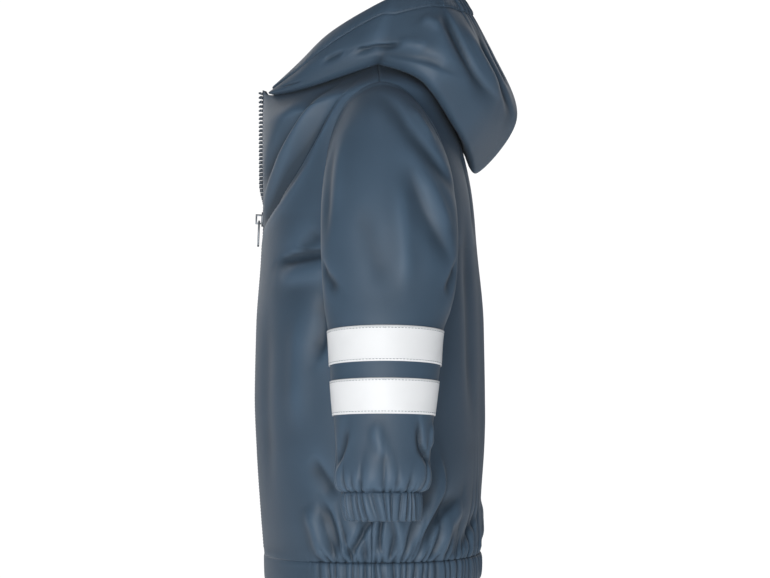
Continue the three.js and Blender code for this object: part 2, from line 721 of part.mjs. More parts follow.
function hoodRow(turns, rowAt, gather) {
  const end = 180 - SEAM_TURN * 2;
  return turns.map((turn, column) => {
    const placed = Math.min(turn, end);
    const lift = crownZigzag(turn, column, gather);
    const u = (turn - turns[0]) / (180 - turns[0]);
    return hoodPoint(placed, rowAt(placed), lift, CLOTH, u);
  });
}

function hoodWall(side) {
  const seam = (turn) => rowBelowRim(turn, CASING_DEPTH);
  const rows = hoodUnderRows.map((row) => hoodRow(plainTurns, () => row, 0));
  for (const part of hoodOuterParts) {
    rows.push(hoodRow(plainTurns, (turn) => HOOD_FOLD + (seam(turn) - HOOD_FOLD) * part, 0));
  }
  rows.push(hoodRow(halfTurns, seam, CASING_GATHER * 0.6));
  return wallGeometry(side > 0 ? rows : rows.map(mirrored));
}

add("hood_left", hoodWall(1), HOOD_CLOTH);
add("hood_right", hoodWall(-1), HOOD_CLOTH);

// The casing runs right round the face opening in one length, gathered at the crown
function casingRow(depth, bulge) {
  const all = [...halfTurns, ...halfTurns.slice(0, -1).reverse().map((turn) => 360 - turn)];
  return all.map((turn, i) => {
    const near = Math.min(turn, 360 - turn);
    const column = Math.min(i, all.length - 1 - i);
    const row = depth > 0 ? rowBelowRim(near, depth) : HOOD_RIM;
    const plain = hoodPoint(turn, row, 0, CASING_THICK - 1, 0);
    const raised = hoodPoint(turn, row, 0.6 + bulge + crownZigzag(near, column, CASING_GATHER), 1, 0);
    return { u: (turn - all[0]) / (360 - 2 * all[0]), outer: raised.outer, inner: plain.inner };
  });
}

const casingRows = [casingRow(CASING_DEPTH - SEAM_GAP * 2, 0), casingRow(CASING_DEPTH / 2, 0.8), casingRow(0, 0.2)];
add("hood_casing", wallGeometry(casingRows), HOOD_CLOTH);

// Zip. Beyond the panel's edge the tape and teeth lean forward where the zip is open.
function levelAtZ(z) {
  let low = HEM_BOTTOM;
  let high = NECK_LEVEL;
  for (let i = 0; i < 40; i += 1) {
    const middle = (low + high) / 2;
    if (bodyBase(turnAtX(ZIP_EDGE, middle), middle).z < z) low = middle;
    else high = middle;
  }
  return (low + high) / 2;
}

function zipPoint(side, x, depth, level) {
  const turn = side * turnAtX(Math.max(x, ZIP_EDGE), level);
  const edge = body(turn, level);
  const normal = bodyNormal(turn, level);
  const centre = body(turn - side, level).sub(edge);
  centre.addScaledVector(normal, -centre.dot(normal)).normalize();
  const lean = radians(TEETH_TILT) * smooth((edge.z - SLIDER_Z - 7) / 25);
  const tilt = x < ZIP_EDGE ? lean : lean / 2;
  const across = centre.clone().multiplyScalar(Math.cos(tilt)).addScaledVector(normal, Math.sin(tilt));
  const back = centre.multiplyScalar(Math.sin(tilt)).addScaledVector(normal, -Math.cos(tilt));
  const over = x > ZIP_EDGE ? 0 : ZIP_EDGE - x;
  return x > ZIP_EDGE
    ? moved(edge, normal, -depth)
    : moved(moved(edge, across, over), back, depth);
}

function zipWall(side, xs, front, back, levels) {
  const rows = levels.map((level) => {
    const row = xs.map((x, i) => ({
      u: i / (xs.length - 1),
      outer: zipPoint(side, x, front, level),
      inner: zipPoint(side, x, back, level),
    }));
    return side > 0 ? row : reversed(row);
  });
  return wallGeometry(rows);
}

const zipUpper = ZIP_HEIGHTS.map((z) => levelAtZ(z));
const zipLevels = [...gatherLevels, ...lowerLevels.slice(0, -1), ...zipUpper, NECK_LEVEL - 1];
for (const [side, word] of [[1, "left"], [-1, "right"]]) {
  const tapeLevels = [HEM_BOTTOM + 1, ...zipLevels];
  const teethLevels = [TEETH_BOTTOM, ...zipLevels];
  add(`zip_tape_${word}`, zipWall(side, TAPE_COLUMNS, TAPE_FRONT, TAPE_BACK, tapeLevels), TAPE);
  add(`zip_teeth_${word}`, zipWall(side, TEETH_COLUMNS, TEETH_FRONT, TAPE_BACK, teethLevels), TEETH);
}

// Slider and pull tab, made upright and then tilted with the front
const wasm = await Module();
wasm.setup();

function solid(geometry) {
  geometry.deleteAttribute("normal");
  geometry.deleteAttribute("uv");
  const merged = mergeVertices(geometry, 1e-4);
  const vertProperties = new Float32Array(merged.attributes.position.array);
  const triVerts = new Uint32Array(merged.index.array);
  return new wasm.Manifold(new wasm.Mesh({ numProp: 3, vertProperties, triVerts }));
}

function geometryOf(manifold) {
  const { vertProperties, triVerts } = manifold.getMesh();
  const geometry = new THREE.BufferGeometry();
  geometry.setAttribute("position", new THREE.BufferAttribute(vertProperties, 3));
  geometry.setIndex(new THREE.BufferAttribute(triVerts, 1));
  geometry.computeVertexNormals();
  return geometry;
}

// A flat plate whose outline is drawn in X and Z, from its back face forwards
function plate(shape, backY, thick) {
  const options = { depth: thick, bevelEnabled: false, curveSegments: 4 };
  return new THREE.ExtrudeGeometry(shape, options).rotateX(Math.PI / 2).translate(0, backY, 0);
}

function block(width, depth, height, x, y, z) {
  return new THREE.BoxGeometry(width, depth, height).translate(x, y, z);
}

function sliderOutline() {
  const { top, bottom, height } = SLIDER;
  const shape = new THREE.Shape();
  shape.moveTo(-bottom, -height / 2);
  shape.lineTo(bottom, -height / 2);
  shape.quadraticCurveTo(top, -height / 6, top, height / 4);
  shape.quadraticCurveTo(top, height / 2, top - 1.8, height / 2);
  shape.lineTo(1.8 - top, height / 2);
  shape.quadraticCurveTo(-top, height / 2, -top, height / 4);
  shape.quadraticCurveTo(-top, -height / 6, -bottom, -height / 2);
  return shape;
}

function sliderGeometry() {
  const { plateThick, frontFace, backFace, neckWidth, neckLow, neckHigh, arch } = SLIDER;
  const front = solid(plate(sliderOutline(), frontFace, plateThick));
  const back = solid(plate(sliderOutline(), backFace + plateThick, plateThick));
  const deep = backFace + plateThick - frontFace + plateThick;
  const neckMiddle = (frontFace - plateThick + backFace + plateThick) / 2;
  const neckZ = (neckLow + neckHigh) / 2;
  const neck = solid(block(neckWidth, deep - 0.2, neckHigh - neckLow, 0, neckMiddle, neckZ));
  const archBack = frontFace - plateThick / 2;
  const archMiddle = (archBack + arch.front) / 2;
  const bridge = solid(block(arch.width, archBack - arch.front, arch.height, 0, archMiddle, 0));
  const holeMiddle = (arch.holeBack + arch.holeFront) / 2;
  const hole = block(arch.width + 2, arch.holeBack - arch.holeFront, arch.holeHeight, 0, holeMiddle, 0);
  return geometryOf(front.add(back).add(neck).add(bridge.subtract(solid(hole))));
}

function tabGeometry() {
  const { halfWidth, armWidth, thick, length, holeLength } = TAB;
  const shape = new THREE.Shape();
  shape.moveTo(-halfWidth, 0);
  shape.lineTo(-halfWidth, 2 - length);
  shape.quadraticCurveTo(-halfWidth, -length, 2 - halfWidth, -length);
  shape.lineTo(halfWidth - 2, -length);
  shape.quadraticCurveTo(halfWidth, -length, halfWidth, 2 - length);
  shape.lineTo(halfWidth, 0);
  const inside = halfWidth - armWidth;
  shape.lineTo(inside, 0);
  shape.lineTo(inside, -holeLength);
  shape.lineTo(-inside, -holeLength);
  shape.lineTo(-inside, 0);
  const bar = new THREE.CylinderGeometry(thick / 2, thick / 2, halfWidth * 2, 8).rotateZ(Math.PI / 2);
  return geometryOf(solid(plate(shape, thick / 2, thick)).add(solid(bar)));
}

const sliderLevel = levelAtZ(SLIDER_Z);
const sliderTurn = turnAtX(ZIP_EDGE, sliderLevel);
const sliderPlace = body(sliderTurn, sliderLevel);
const sliderRun = body(sliderTurn, sliderLevel + 5).sub(body(sliderTurn, sliderLevel - 5));
const sliderGroup = new THREE.Group();
sliderGroup.position.set(0, sliderPlace.y, SLIDER_Z);
sliderGroup.rotation.x = -Math.atan2(sliderRun.y, sliderRun.z);
coat.add(sliderGroup);

const slider = new THREE.Mesh(sliderGeometry(), METAL);
slider.name = "zip_slider";
sliderGroup.add(slider);

const tab = new THREE.Mesh(tabGeometry(), METAL);
tab.name = "zip_pull_tab";
tab.position.set(0, TAB.pivotY, TAB.pivotZ);
sliderGroup.add(tab);

const boxY = body(3, HEM_BOTTOM + BOX.height / 2).y + BOX.backset;
const boxZ = HEM_BOTTOM + 1.5 + BOX.height / 2;
add("zip_box", block(BOX.width, BOX.depth, BOX.height, 0, boxY, boxZ), METAL);

export default coat;
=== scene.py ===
# %% [markdown]
# # A child's rain jacket
#
# The jacket hangs filled out, as on a child of about three, with its hood down and its front zip
# half open. It is made of soft coated cloth, so nearly all of its looks come from how that cloth
# bends: broad smooth panels, a few long pulls from the zip, and fine gathers where elastic draws
# it in. This lesson lays thin sheets of cloth on the jacket's form, creases them, and adds
# the stitching, the zip and the finishes. Sizes are in millimetres, and become metres in the mesh.

# %% Load the frame
import math
import bpy
import numpy as np
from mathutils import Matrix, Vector


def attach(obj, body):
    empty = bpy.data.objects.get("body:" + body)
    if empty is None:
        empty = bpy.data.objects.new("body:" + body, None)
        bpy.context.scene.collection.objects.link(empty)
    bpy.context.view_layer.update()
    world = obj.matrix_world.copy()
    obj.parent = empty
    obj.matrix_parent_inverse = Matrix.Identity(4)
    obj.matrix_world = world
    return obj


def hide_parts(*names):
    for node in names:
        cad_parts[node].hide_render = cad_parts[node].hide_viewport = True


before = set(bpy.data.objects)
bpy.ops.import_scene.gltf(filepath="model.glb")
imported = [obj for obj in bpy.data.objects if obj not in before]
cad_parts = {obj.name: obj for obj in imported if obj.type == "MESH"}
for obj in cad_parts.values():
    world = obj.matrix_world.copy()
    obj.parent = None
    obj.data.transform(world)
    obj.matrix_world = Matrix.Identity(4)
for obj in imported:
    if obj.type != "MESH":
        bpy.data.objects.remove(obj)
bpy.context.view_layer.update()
MM = 0.001
print("solids loaded:", len(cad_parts))

# %% [markdown]
# ## Camera, floor and light
#
# The jacket is seen square from its left side, from far away, so a long lens stands 3.2 metres off
# and level with the middle of the jacket. A pale floor lies at the child's feet, and a white room
# gives soft light all round. The main lamp stands low beside the camera, so cloth that faces the
# camera is lightest, and the front and back edges darken. Weak lamps light the far side.

# %% Camera
CAMERA_PLACE = Vector((3.2, 0.0135, -0.196))
SENSOR_WIDTH = 36
VIEW_WIDTH = 0.693


def add_camera():
    bpy.ops.object.camera_add(location=CAMERA_PLACE, rotation=(math.pi / 2, 0, math.pi / 2))
    camera = bpy.context.object
    camera.data.sensor_width = SENSOR_WIDTH
    camera.data.lens = SENSOR_WIDTH * CAMERA_PLACE.x / VIEW_WIDTH
    camera.data.clip_end = 100
    bpy.context.scene.camera = camera
    return camera


print("lens in mm:", round(add_camera().data.lens, 1))

# %% Floor and lamps
FLOOR_LEVEL = -0.78
FLOOR_RADIUS = 3.9


def plain_material(name, colour, roughness):
    material = bpy.data.materials.new(name)
    material.use_nodes = True
    shader = material.node_tree.nodes["Principled BSDF"]
    shader.inputs["Base Color"].default_value = (*colour, 1)
    shader.inputs["Roughness"].default_value = roughness
    return material


def add_floor():
    bpy.ops.mesh.primitive_circle_add(
        vertices=96, radius=FLOOR_RADIUS, fill_type="NGON", location=(0, 0, FLOOR_LEVEL)
    )
    floor = bpy.context.object
    floor.name = "pale_floor"
    material = plain_material("pale_floor", (0.9, 0.9, 0.9), 0.8)
    shader = material.node_tree.nodes["Principled BSDF"]
    shader.inputs["Emission Color"].default_value = (1, 1, 1, 1)
    shader.inputs["Emission Strength"].default_value = 0.4
    floor.data.materials.append(material)


def add_lamp(name, place, size, power):
    bpy.ops.object.light_add(type="AREA", location=place)
    lamp = bpy.context.object
    lamp.name = name
    lamp.data.size = size
    lamp.data.energy = power
    aim = Vector((0, 0, -0.2)) - Vector(place)
    lamp.rotation_euler = aim.to_track_quat("-Z", "Y").to_euler()


def white_room(seen, light):
    world = bpy.data.worlds.new("white_room")
    bpy.context.scene.world = world
    world.use_nodes = True
    nodes, links = world.node_tree.nodes, world.node_tree.links
    output = nodes["World Output"]
    backdrop, glow = nodes["Background"], nodes.new("ShaderNodeBackground")
    path, mix = nodes.new("ShaderNodeLightPath"), nodes.new("ShaderNodeMixShader")
    backdrop.inputs["Strength"].default_value = seen
    backdrop.inputs["Color"].default_value = (1, 1, 1, 1)
    glow.inputs["Strength"].default_value = light
    glow.inputs["Color"].default_value = (0.84, 0.95, 1.12, 1)
    links.new(path.outputs["Is Camera Ray"], mix.inputs["Fac"])
    links.new(glow.outputs["Background"], mix.inputs[1])
    links.new(backdrop.outputs["Background"], mix.inputs[2])
    links.new(mix.outputs["Shader"], output.inputs["Surface"])


add_floor()
white_room(seen=1.05, light=0.15)
add_lamp("key", (2.75, -0.4, -0.4), 1.0, 56)
add_lamp("side", (2.9, 1.2, -0.5), 1.6, 4)
add_lamp("top", (0.6, 0.0, 2.2), 1.2, 3)
add_lamp("far_front", (-2.6, -1.8, 0.9), 2.2, 24)
add_lamp("far_back", (-2.9, 1.6, 1.1), 2.2, 16)
bpy.context.scene.view_settings.view_transform = "Standard"

# %% [markdown]
# ## Small tools
#
# The jacket's form is worked out from short tables of sections. A smooth curve through each column
# of a table gives every size in between, and never swings past the sections themselves. These
# helpers work on whole arrays of points at once, which keeps the lesson quick to run.


# %% Tables and curves
def table(columns, rows):
    return [dict(zip(columns.split(), row)) for row in rows]


def smooth(value):
    t = np.clip(value, 0, 1)
    return t * t * (3 - 2 * t)


def unit(vectors):
    return vectors / np.linalg.norm(vectors, axis=-1, keepdims=True)


def curve_through(rows, key):
    names = [name for name in rows[0] if not isinstance(rows[0][name], str)]
    places = np.array([row[key] for row in rows], float)
    values = np.array([[row[name] for name in names] for row in rows], float)
    widths = np.diff(places)
    slopes = np.diff(values, axis=0) / widths[:, None]
    before, after = slopes[:-1], slopes[1:]
    same_way = before * after > 0
    inner = np.where(same_way, 2 * before * after / np.where(same_way, before + after, 1), 0)
    tangents = np.vstack([slopes[:1], inner, slopes[-1:]])

    def at(place):
        i = np.searchsorted(places[1:-1], place, side="left")
        width = widths[i]
        t = (place - places[i]) / width
        sizes = {}
        for k, name in enumerate(names):
            start = values[i, k] * (1 + 2 * t) + tangents[i, k] * width * t
            end = values[i + 1, k] * (3 - 2 * t) + tangents[i + 1, k] * width * (t - 1)
            sizes[name] = start * (1 - t) ** 2 + end * t**2
        return sizes

    return at


def normal_of(surface, a, b, step_a, step_b):
    """The outward normal of a surface(a, b) whose a runs round the piece and b runs up it"""
    round_it = surface(a + step_a, b) - surface(a - step_a, b)
    up = surface(a, b + step_b) - surface(a, b - step_b)
    return unit(np.cross(round_it, up))


def spline(controls, row, last_row):
    """A centripetal Catmull-Rom curve through controls (rows, points, 3) at each point's own row"""
    first = 2 * controls[:1] - controls[1:2]
    last = 2 * controls[-1:] - controls[-2:-1]
    padded = np.concatenate([first, controls, last])
    place = np.clip(row / last_row, 0, 1) * (len(controls) - 1)
    i = np.minimum(place.astype(int), len(controls) - 2)
    t = (place - i)[..., None]
    which = np.arange(controls.shape[1])
    p0, p1, p2, p3 = (padded[i + k, which] for k in range(4))
    gap0, gap1, gap2 = (
        np.maximum(np.linalg.norm(b - a, axis=-1, keepdims=True), 1e-6) ** 0.5
        for a, b in ((p0, p1), (p1, p2), (p2, p3))
    )
    leave = ((p1 - p0) / gap0 - (p2 - p0) / (gap0 + gap1) + (p2 - p1) / gap1) * gap1
    arrive = ((p2 - p1) / gap1 - (p3 - p1) / (gap1 + gap2) + (p3 - p2) / gap2) * gap1
    bend2 = 3 * (p2 - p1) - 2 * leave - arrive
    bend3 = 2 * (p1 - p2) + leave + arrive
    return p1 + leave * t + bend2 * t**2 + bend3 * t**3


# %% [markdown]
# ## Creases and gathers
#
# A crease is a trough or ridge along a short path on the cloth. Real creases are never even: one
# flank is steeper, and they fade at their ends. Each one is listed, with its path, width
# and depth, and a lean that makes one flank wide and the other steep. Where elastic draws the
# cloth in, it stands up in puffs with sharp creases between them, no two of the same width.


# %% Creases and gathers
def turn_between(start, end):
    return (end - start + 540) % 360 - 180


def rounded_path(path):
    """Cut the corners of a path twice, which makes it a smooth curve"""
    for _ in range(2):
        near_start = path[:-1] * 0.75 + path[1:] * 0.25
        near_end = path[:-1] * 0.25 + path[1:] * 0.75
        inner = np.stack([near_start, near_end], axis=1).reshape(-1, 2)
        path = np.vstack([path[:1], inner, path[-1:]])
    return path


def crease_lift(across, along, path, width, depth, lean):
    """How far a crease lifts the cloth. path and the places are in mm on the flat cloth."""
    nearest = np.full(across.shape, 1e9)
    part, side = np.zeros(across.shape), np.zeros(across.shape)
    steps = np.hypot(*np.diff(path, axis=0).T)
    done = 0
    for start, end, length in zip(path[:-1], path[1:], steps):
        run = (end - start) / length
        ahead = (across - start[0]) * run[0] + (along - start[1]) * run[1]
        beside = (across - start[0]) * run[1] - (along - start[1]) * run[0]
        held = np.clip(ahead, 0, length)
        distance = np.hypot(beside, ahead - held)
        closer = distance < nearest
        nearest = np.where(closer, distance, nearest)
        part = np.where(closer, (done + held) / steps.sum(), part)
        side = np.where(closer, beside, side)
        done += length
    ends = 0.1 + 0.9 * smooth(np.minimum(part, 1 - part) / 0.35)
    flank = width * (1 + lean * np.tanh(side / 2))
    return depth * ends * np.exp(-((nearest / flank) ** 2))


def all_creases(creases, turn, level, turn_mm, level_mm):
    turn, level = np.broadcast_arrays(turn, level)
    lift = np.zeros(turn.shape)
    for crease in creases:
        start = crease["path"][0]
        path = np.array(
            [(turn_between(start[0], t) * turn_mm, (v - start[1]) * level_mm) for t, v in crease["path"]]
        )
        path = rounded_path(path)
        across = turn_between(start[0], turn) * turn_mm
        along = (level - start[1]) * level_mm
        reach = 4 * crease["width"]
        low, high = path.min(axis=0) - reach, path.max(axis=0) + reach
        near = (across > low[0]) & (across < high[0]) & (along > low[1]) & (along < high[1])
        if near.any():
            shape = crease["width"], crease["depth"], crease["lean"]
            lift[near] += crease_lift(across[near], along[near], path, *shape)
    return lift


def puffs(share, count, seed):
    """Gathers side by side over a share of 0 to 1: 1 on the puffs and -1 in the creases"""
    wide, narrow = round(count * 0.13), round(count * 0.33)
    drift = 0.2 * np.sin(2 * math.pi * wide * share + 2 * seed)
    drift = drift + 0.22 * np.sin(2 * math.pi * narrow * share + seed)
    height = 0.8 + 0.2 * np.sin(2 * math.pi * (narrow + 1) * share + 3 * seed)
    return height * (2 * np.abs(np.sin(math.pi * (count * share + drift))) ** 0.6 - 1)


# %% [markdown]
# ## The body of the jacket
#
# The body is a wide tube, boxier at the chest than at the neck. Each section is a rounded
# rectangle given by its side, front and back. "turn" goes round it in degrees, from the centre
# front over the wearer's left side to the back. "level" is the height at the side, and runs on
# over the shoulder to the neckline.

# %% Sections of the body
NECK_LEVEL = 48
HEM_SEAM = -432
HEM_BOTTOM = -454
SLIDER_Z = -133.5
V_TOP_Z = -20
V_HALF = 11
DIVIDER = 2.2
ZIP_EDGE = 6.2
BACK_BOW = -0.5
CORNER_RISE = 6
CORNER_WIDTH = 16
CORNER_DEPTH = 30
TURN_MM = 2.2

BODY = table(
    "level x_side y_side z_side y_front z_front y_back z_back square bow",
    [
        (-454, 133, 2, -454, -94.5, -454, 97, -454, 2.3, 0),
        (-432, 134, 2, -432, -95, -432, 97.5, -432, 2.3, 0),
        (-400, 142, 2, -400, -97.2, -400, 99, -400, 2.3, 0),
        (-340, 149, 2, -340, -101.3, -340, 100.8, -340, 2.3, 0),
        (-290, 149, 2, -290, -103.5, -290, 100.8, -290, 2.35, 0),
        (-230, 146, 3, -230, -102.6, -230, 100, -230, 2.4, 0),
        (-170, 141, 6, -170, -98.2, -170, 97.2, -170, 2.5, 0),
        (-120, 137, 10, -120, -95.8, -125, 93.6, -120, 2.6, -0.4),
        (-70, 132, 13, -70, -95.5, -88, 84, -72, 2.6, -0.4),
        (-17.5, 124, 9, -17.5, -95.5, -52, 68, -28, 2.5, -0.2),
        (15, 92, 8, -4, -95.5, -35, 60, -10, 2.3, 0.4),
        (48, 61, 6, 9, -95.5, -24, 50, 5, 2.1, 0.9),
    ],
)
body_at = curve_through(BODY, "level")


def v_spread(z):
    above = np.maximum(z - SLIDER_Z, 0)
    return DIVIDER * smooth(above / 7) + V_HALF * (above / (V_TOP_Z - SLIDER_Z)) ** 1.3


def body_base(turn, level):
    turn, level = np.broadcast_arrays(turn, level)
    size = body_at(level)
    sin, cos = np.sin(np.radians(turn)), np.cos(np.radians(turn))
    power = size["square"]
    reach = (np.abs(sin) ** power + np.abs(cos) ** power) ** (-1 / power)
    along, front = np.abs(cos) * reach, cos > 0
    y_end = np.where(front, size["y_front"], size["y_back"])
    z_end = np.where(front, size["z_front"], size["z_back"])
    bow = np.where(front, size["bow"], BACK_BOW)
    x = size["x_side"] * sin * reach
    y = size["y_side"] + (y_end - size["y_side"]) * along
    corner = CORNER_RISE * np.exp(-((x / CORNER_WIDTH) ** 2))
    corner = corner * np.where(front, smooth(1 - (NECK_LEVEL - level) / CORNER_DEPTH), 0)
    z = size["z_side"] + (z_end - size["z_side"]) * along * (1 + bow * (1 - along)) + corner
    spread = np.where(front, v_spread(z) * np.exp(-np.abs(x) / 90) * along, 0)
    return np.stack([x + np.sign(x) * spread, y, z], axis=-1)


# %% Creases of the body
BODY_CREASES = table(
    "path width depth lean",
    [
        # The left front: long pulls from the shoulder to the slider
        ([(70, 20), (58, -4), (49, -26), (39, -48), (25, -79), (12, -108)], 9, -8.6, 0.5),
        ([(76, -4), (64, -34), (53, -64), (39, -95), (25, -123), (10, -146)], 9, -9.2, 0.5),
        ([(60, -58), (48, -90), (34, -119), (12, -143)], 6, -4.7, 0.5),
        ([(62, -6), (54, -28), (44, -52), (30, -88)], 7, 2.6, 0),
        ([(64, -141), (61, -153), (50, -165)], 9, -2.9, 0),
        # The left front: a sharp fold at the elbow, and soft waves below it
        ([(74, -160), (62, -165), (50, -168), (38, -174)], 5, -4.6, -0.5),
        ([(74, -178), (60, -181), (40, -187)], 10, 3.2, 0),
        ([(66, -190), (68, -239), (62, -262)], 8, -4.7, 0.3),
        ([(56, -205), (54, -330)], 13, 4, 0),
        ([(34, -200), (30, -390)], 14, -2.9, 0),
        ([(60, -340), (68, -362), (74, -378)], 8, -3.6, 0.4),
        # The left side: folds that fan out of the hem's gathers
        ([(57, -382), (62, -404), (66, -428)], 8, 4.3, 0),
        ([(64, -376), (71, -400), (75, -430)], 6, -5, 0.4),
        ([(93, -388), (84, -410), (79, -430)], 5, -4.3, 0.5),
        ([(88, -392), (80, -412), (72, -430)], 5, 3.2, 0),
        ([(97, -380), (94, -408), (95, -430)], 3, -4.3, 0.3),
        ([(101, -384), (105, -412), (103, -430)], 5, 3.6, -0.3),
        ([(124, -336), (128, -364), (121, -386), (114, -412), (110, -430)], 7, 5.8, 0.5),
        ([(120, -360), (115, -390), (108, -426)], 6, -5, 0),
        ([(141, -376), (127, -392), (119, -412), (116, -430)], 7, -5.4, 0.5),
        ([(146, -384), (133, -398), (124, -430)], 7, 4, 0),
        ([(162, -394), (146, -414), (138, -432)], 7, -4.7, 0.4),
        # The back and the right side: the same kinds, at their own places
        ([(88, -190), (80, -225), (74, -262)], 11, -4.5, 0),
        ([(104, -196), (108, -290)], 9, -4, 0.2),
        ([(146, -120), (150, -220), (152, -330)], 14, -5.4, 0),
        ([(120, -170), (116, -330)], 14, 4.7, 0),
        ([(170, -140), (176, -270), (174, -396)], 16, 4.3, 0),
        ([(158, -60), (166, -110), (163, -160)], 10, -3.2, 0.3),
        ([(-160, -74), (-168, -120), (-164, -178)], 10, -3.2, -0.3),
        ([(-152, -110), (-156, -220), (-158, -300)], 14, -5.4, 0),
        ([(-122, -180), (-120, -330)], 14, 4.7, 0),
        ([(-106, -204), (-110, -310)], 9, -4, 0.2),
        ([(-84, -200), (-76, -240), (-70, -280)], 11, -4.5, 0),
        ([(-180, -380), (-176, -408), (-178, -430)], 7, 4, 0.4),
        ([(-164, -372), (-158, -404), (-153, -430)], 7, -5, 0.4),
        ([(-140, -352), (-134, -386), (-126, -430)], 8, 5.4, -0.4),
        ([(-128, -372), (-121, -402), (-116, -430)], 6, -4.7, 0),
        ([(-98, -384), (-96, -410), (-97, -430)], 3, -4.3, 0.3),
        ([(-88, -372), (-82, -402), (-78, -430)], 7, 4.3, 0.4),
        ([(-62, -378), (-68, -404), (-72, -430)], 6, -5, 0.4),
        # The right front
        ([(-70, 16), (-56, -8), (-48, -30), (-38, -52), (-24, -82), (-12, -108)], 8, -7.6, -0.5),
        ([(-76, -8), (-64, -38), (-52, -68), (-38, -98), (-24, -126), (-10, -150)], 8, -8.6, -0.5),
        ([(-62, 4), (-45, -48), (-30, -88)], 6, 2.9, 0),
        ([(-66, -166), (-56, -170), (-42, -177)], 6, -5.4, 0.5),
        ([(-66, -182), (-54, -185), (-44, -189)], 9, 4.3, 0),
        ([(-56, -212), (-52, -340)], 13, 3.6, 0),
        ([(-32, -210), (-34, -380)], 14, -2.9, 0),
    ],
)


def body_lift(turn, level):
    lift = all_creases(BODY_CREASES, turn, level, TURN_MM, 1)
    waves = np.sin(turn * 0.11 + level * 0.013 + 1) + np.sin(turn * 0.07 - level * 0.021)
    return (lift + 0.35 * waves) * smooth((NECK_LEVEL - level) / 40) * smooth((level - HEM_SEAM) / 8)


def body(turn, level):
    turn, level = np.broadcast_arrays(turn, level)
    normal = normal_of(body_base, turn, level, 0.5, 1)
    return body_base(turn, level) + normal * body_lift(turn, level)[..., None]


def body_normal(turn, level):
    return normal_of(body, turn, level, 0.8, 1.5)


# %% [markdown]
# ## Laying a sheet of cloth
#
# Every panel starts as a flat grid, as the cloth was before it was sewn. Each of its points is
# then laid on the jacket's form. The grid keeps a UV map in millimetres of cloth, so a weave runs
# along the panel and not through space. A tube of cloth, such as a sleeve, is a grid whose two
# side edges are merged. Solidify then gives the sheet its thickness inwards, with the cloth's
# matt reverse on the inner face.


# %% Sheets of cloth
CLOTH_THICK = 1


def start_grid(name, columns, rows):
    bpy.ops.object.select_all(action="DESELECT")
    bpy.ops.mesh.primitive_grid_add(x_subdivisions=columns, y_subdivisions=rows, size=1)
    piece = bpy.context.object
    piece.name = piece.data.name = name
    return piece


def apply_modifier(piece, kind, **settings):
    bpy.context.view_layer.objects.active = piece
    modifier = piece.modifiers.new(kind.lower(), kind)
    for key, value in settings.items():
        setattr(modifier, key, value)
    bpy.ops.object.modifier_apply(modifier=modifier.name)


def merge_edges(piece, distance=0.02 * MM):
    bpy.context.view_layer.objects.active = piece
    bpy.ops.object.mode_set(mode="EDIT")
    bpy.ops.mesh.select_all(action="SELECT")
    bpy.ops.mesh.remove_doubles(threshold=distance)
    bpy.ops.object.mode_set(mode="OBJECT")


def raised(place, lift, side=1, ring=False):
    """Move a grid of places outwards. side is -1 where the grid's columns run the other way"""
    spread = np.concatenate([place[:, -2:-1], place, place[:, 1:2]], axis=1) if ring else place
    normal = unit(np.cross(np.gradient(spread, axis=1), np.gradient(spread, axis=0)))
    normal = normal[:, 1:-1] if ring else normal
    return place + normal * side * lift[..., None]


def blurred(values, axis, reach, ring):
    pads = [(0, 0)] * values.ndim
    pads[axis] = (reach, reach)
    padded = np.pad(values, pads, mode="wrap" if ring else "edge")
    sums = np.cumsum(padded, axis=axis)
    count, width = values.shape[axis], 2 * reach
    return (sums.take(range(width, count + width), axis) - sums.take(range(count), axis)) / width


def relief_of(place, ring):
    """How far each place stands out from the cloth round it: above 0 on ridges, below in creases"""
    smoothed = place
    for _ in range(2):
        smoothed = blurred(blurred(smoothed, 1, 4, ring), 0, 4, False)
    normal = unit(np.cross(np.gradient(smoothed, axis=1), np.gradient(smoothed, axis=0)))
    return np.sum((place - smoothed) * normal, axis=-1)


def cloth_sheet(name, columns, rows, lay, thick=CLOTH_THICK, ring=False):
    """lay(i, j) gives each grid point's place and its place on the flat cloth, all in mm"""
    piece = start_grid(name, columns, rows)
    mesh = piece.data
    flat = np.empty(len(mesh.vertices) * 3)
    mesh.vertices.foreach_get("co", flat)
    flat = flat.reshape(-1, 3) + 0.5
    i = np.rint(flat[:, 0] * columns).astype(int)
    j = np.rint(flat[:, 1] * rows).astype(int)
    place, cut = lay(*np.meshgrid(np.arange(columns + 1), np.arange(rows + 1)))
    # Each point's relief is kept as an attribute, from which the shell paints shade into creases and
    # highlight onto ridges
    relief = relief_of(place, ring)[j, i]
    mesh.attributes.new("relief", "FLOAT", "POINT").data.foreach_set("value", relief)
    place, cut = place[j, i], cut[j, i]
    mesh.vertices.foreach_set("co", (place * MM).ravel())
    corner = np.empty(len(mesh.loops), int)
    mesh.loops.foreach_get("vertex_index", corner)
    mesh.uv_layers.active.data.foreach_set("uv", cut[corner].ravel())
    if ring:
        merge_edges(piece)
    if thick:
        apply_modifier(piece, "SOLIDIFY", thickness=thick * MM, offset=-1, material_offset=1)
    bpy.ops.object.shade_smooth()
    return piece


# %% [markdown]
# ## Finishes
#
# The shell is polyester with a soft polyurethane coat. It is smooth, with a broad satin sheen, a
# faint leathery grain and tiny dents from handling. Two close blues drift into each other, since
# no cloth is one flat colour. Shade is painted into its colour in the creases, and a painted
# highlight onto its ridges. The inside shows the uncoated knit. The reflective tape is nearly
# white, with a fine grid of glass beads. Patterns read the cloth's own UV map, in millimetres, or
# the object's coordinates, so they never slide.


# %% Finishes
def node(material, kind, **inputs):
    made = material.node_tree.nodes.new(kind)
    for name, value in inputs.items():
        made.inputs[name.replace("_", " ")].default_value = value
    return made


def wire(material, source, output, target, socket):
    material.node_tree.links.new(source.outputs[output], target.inputs[socket])


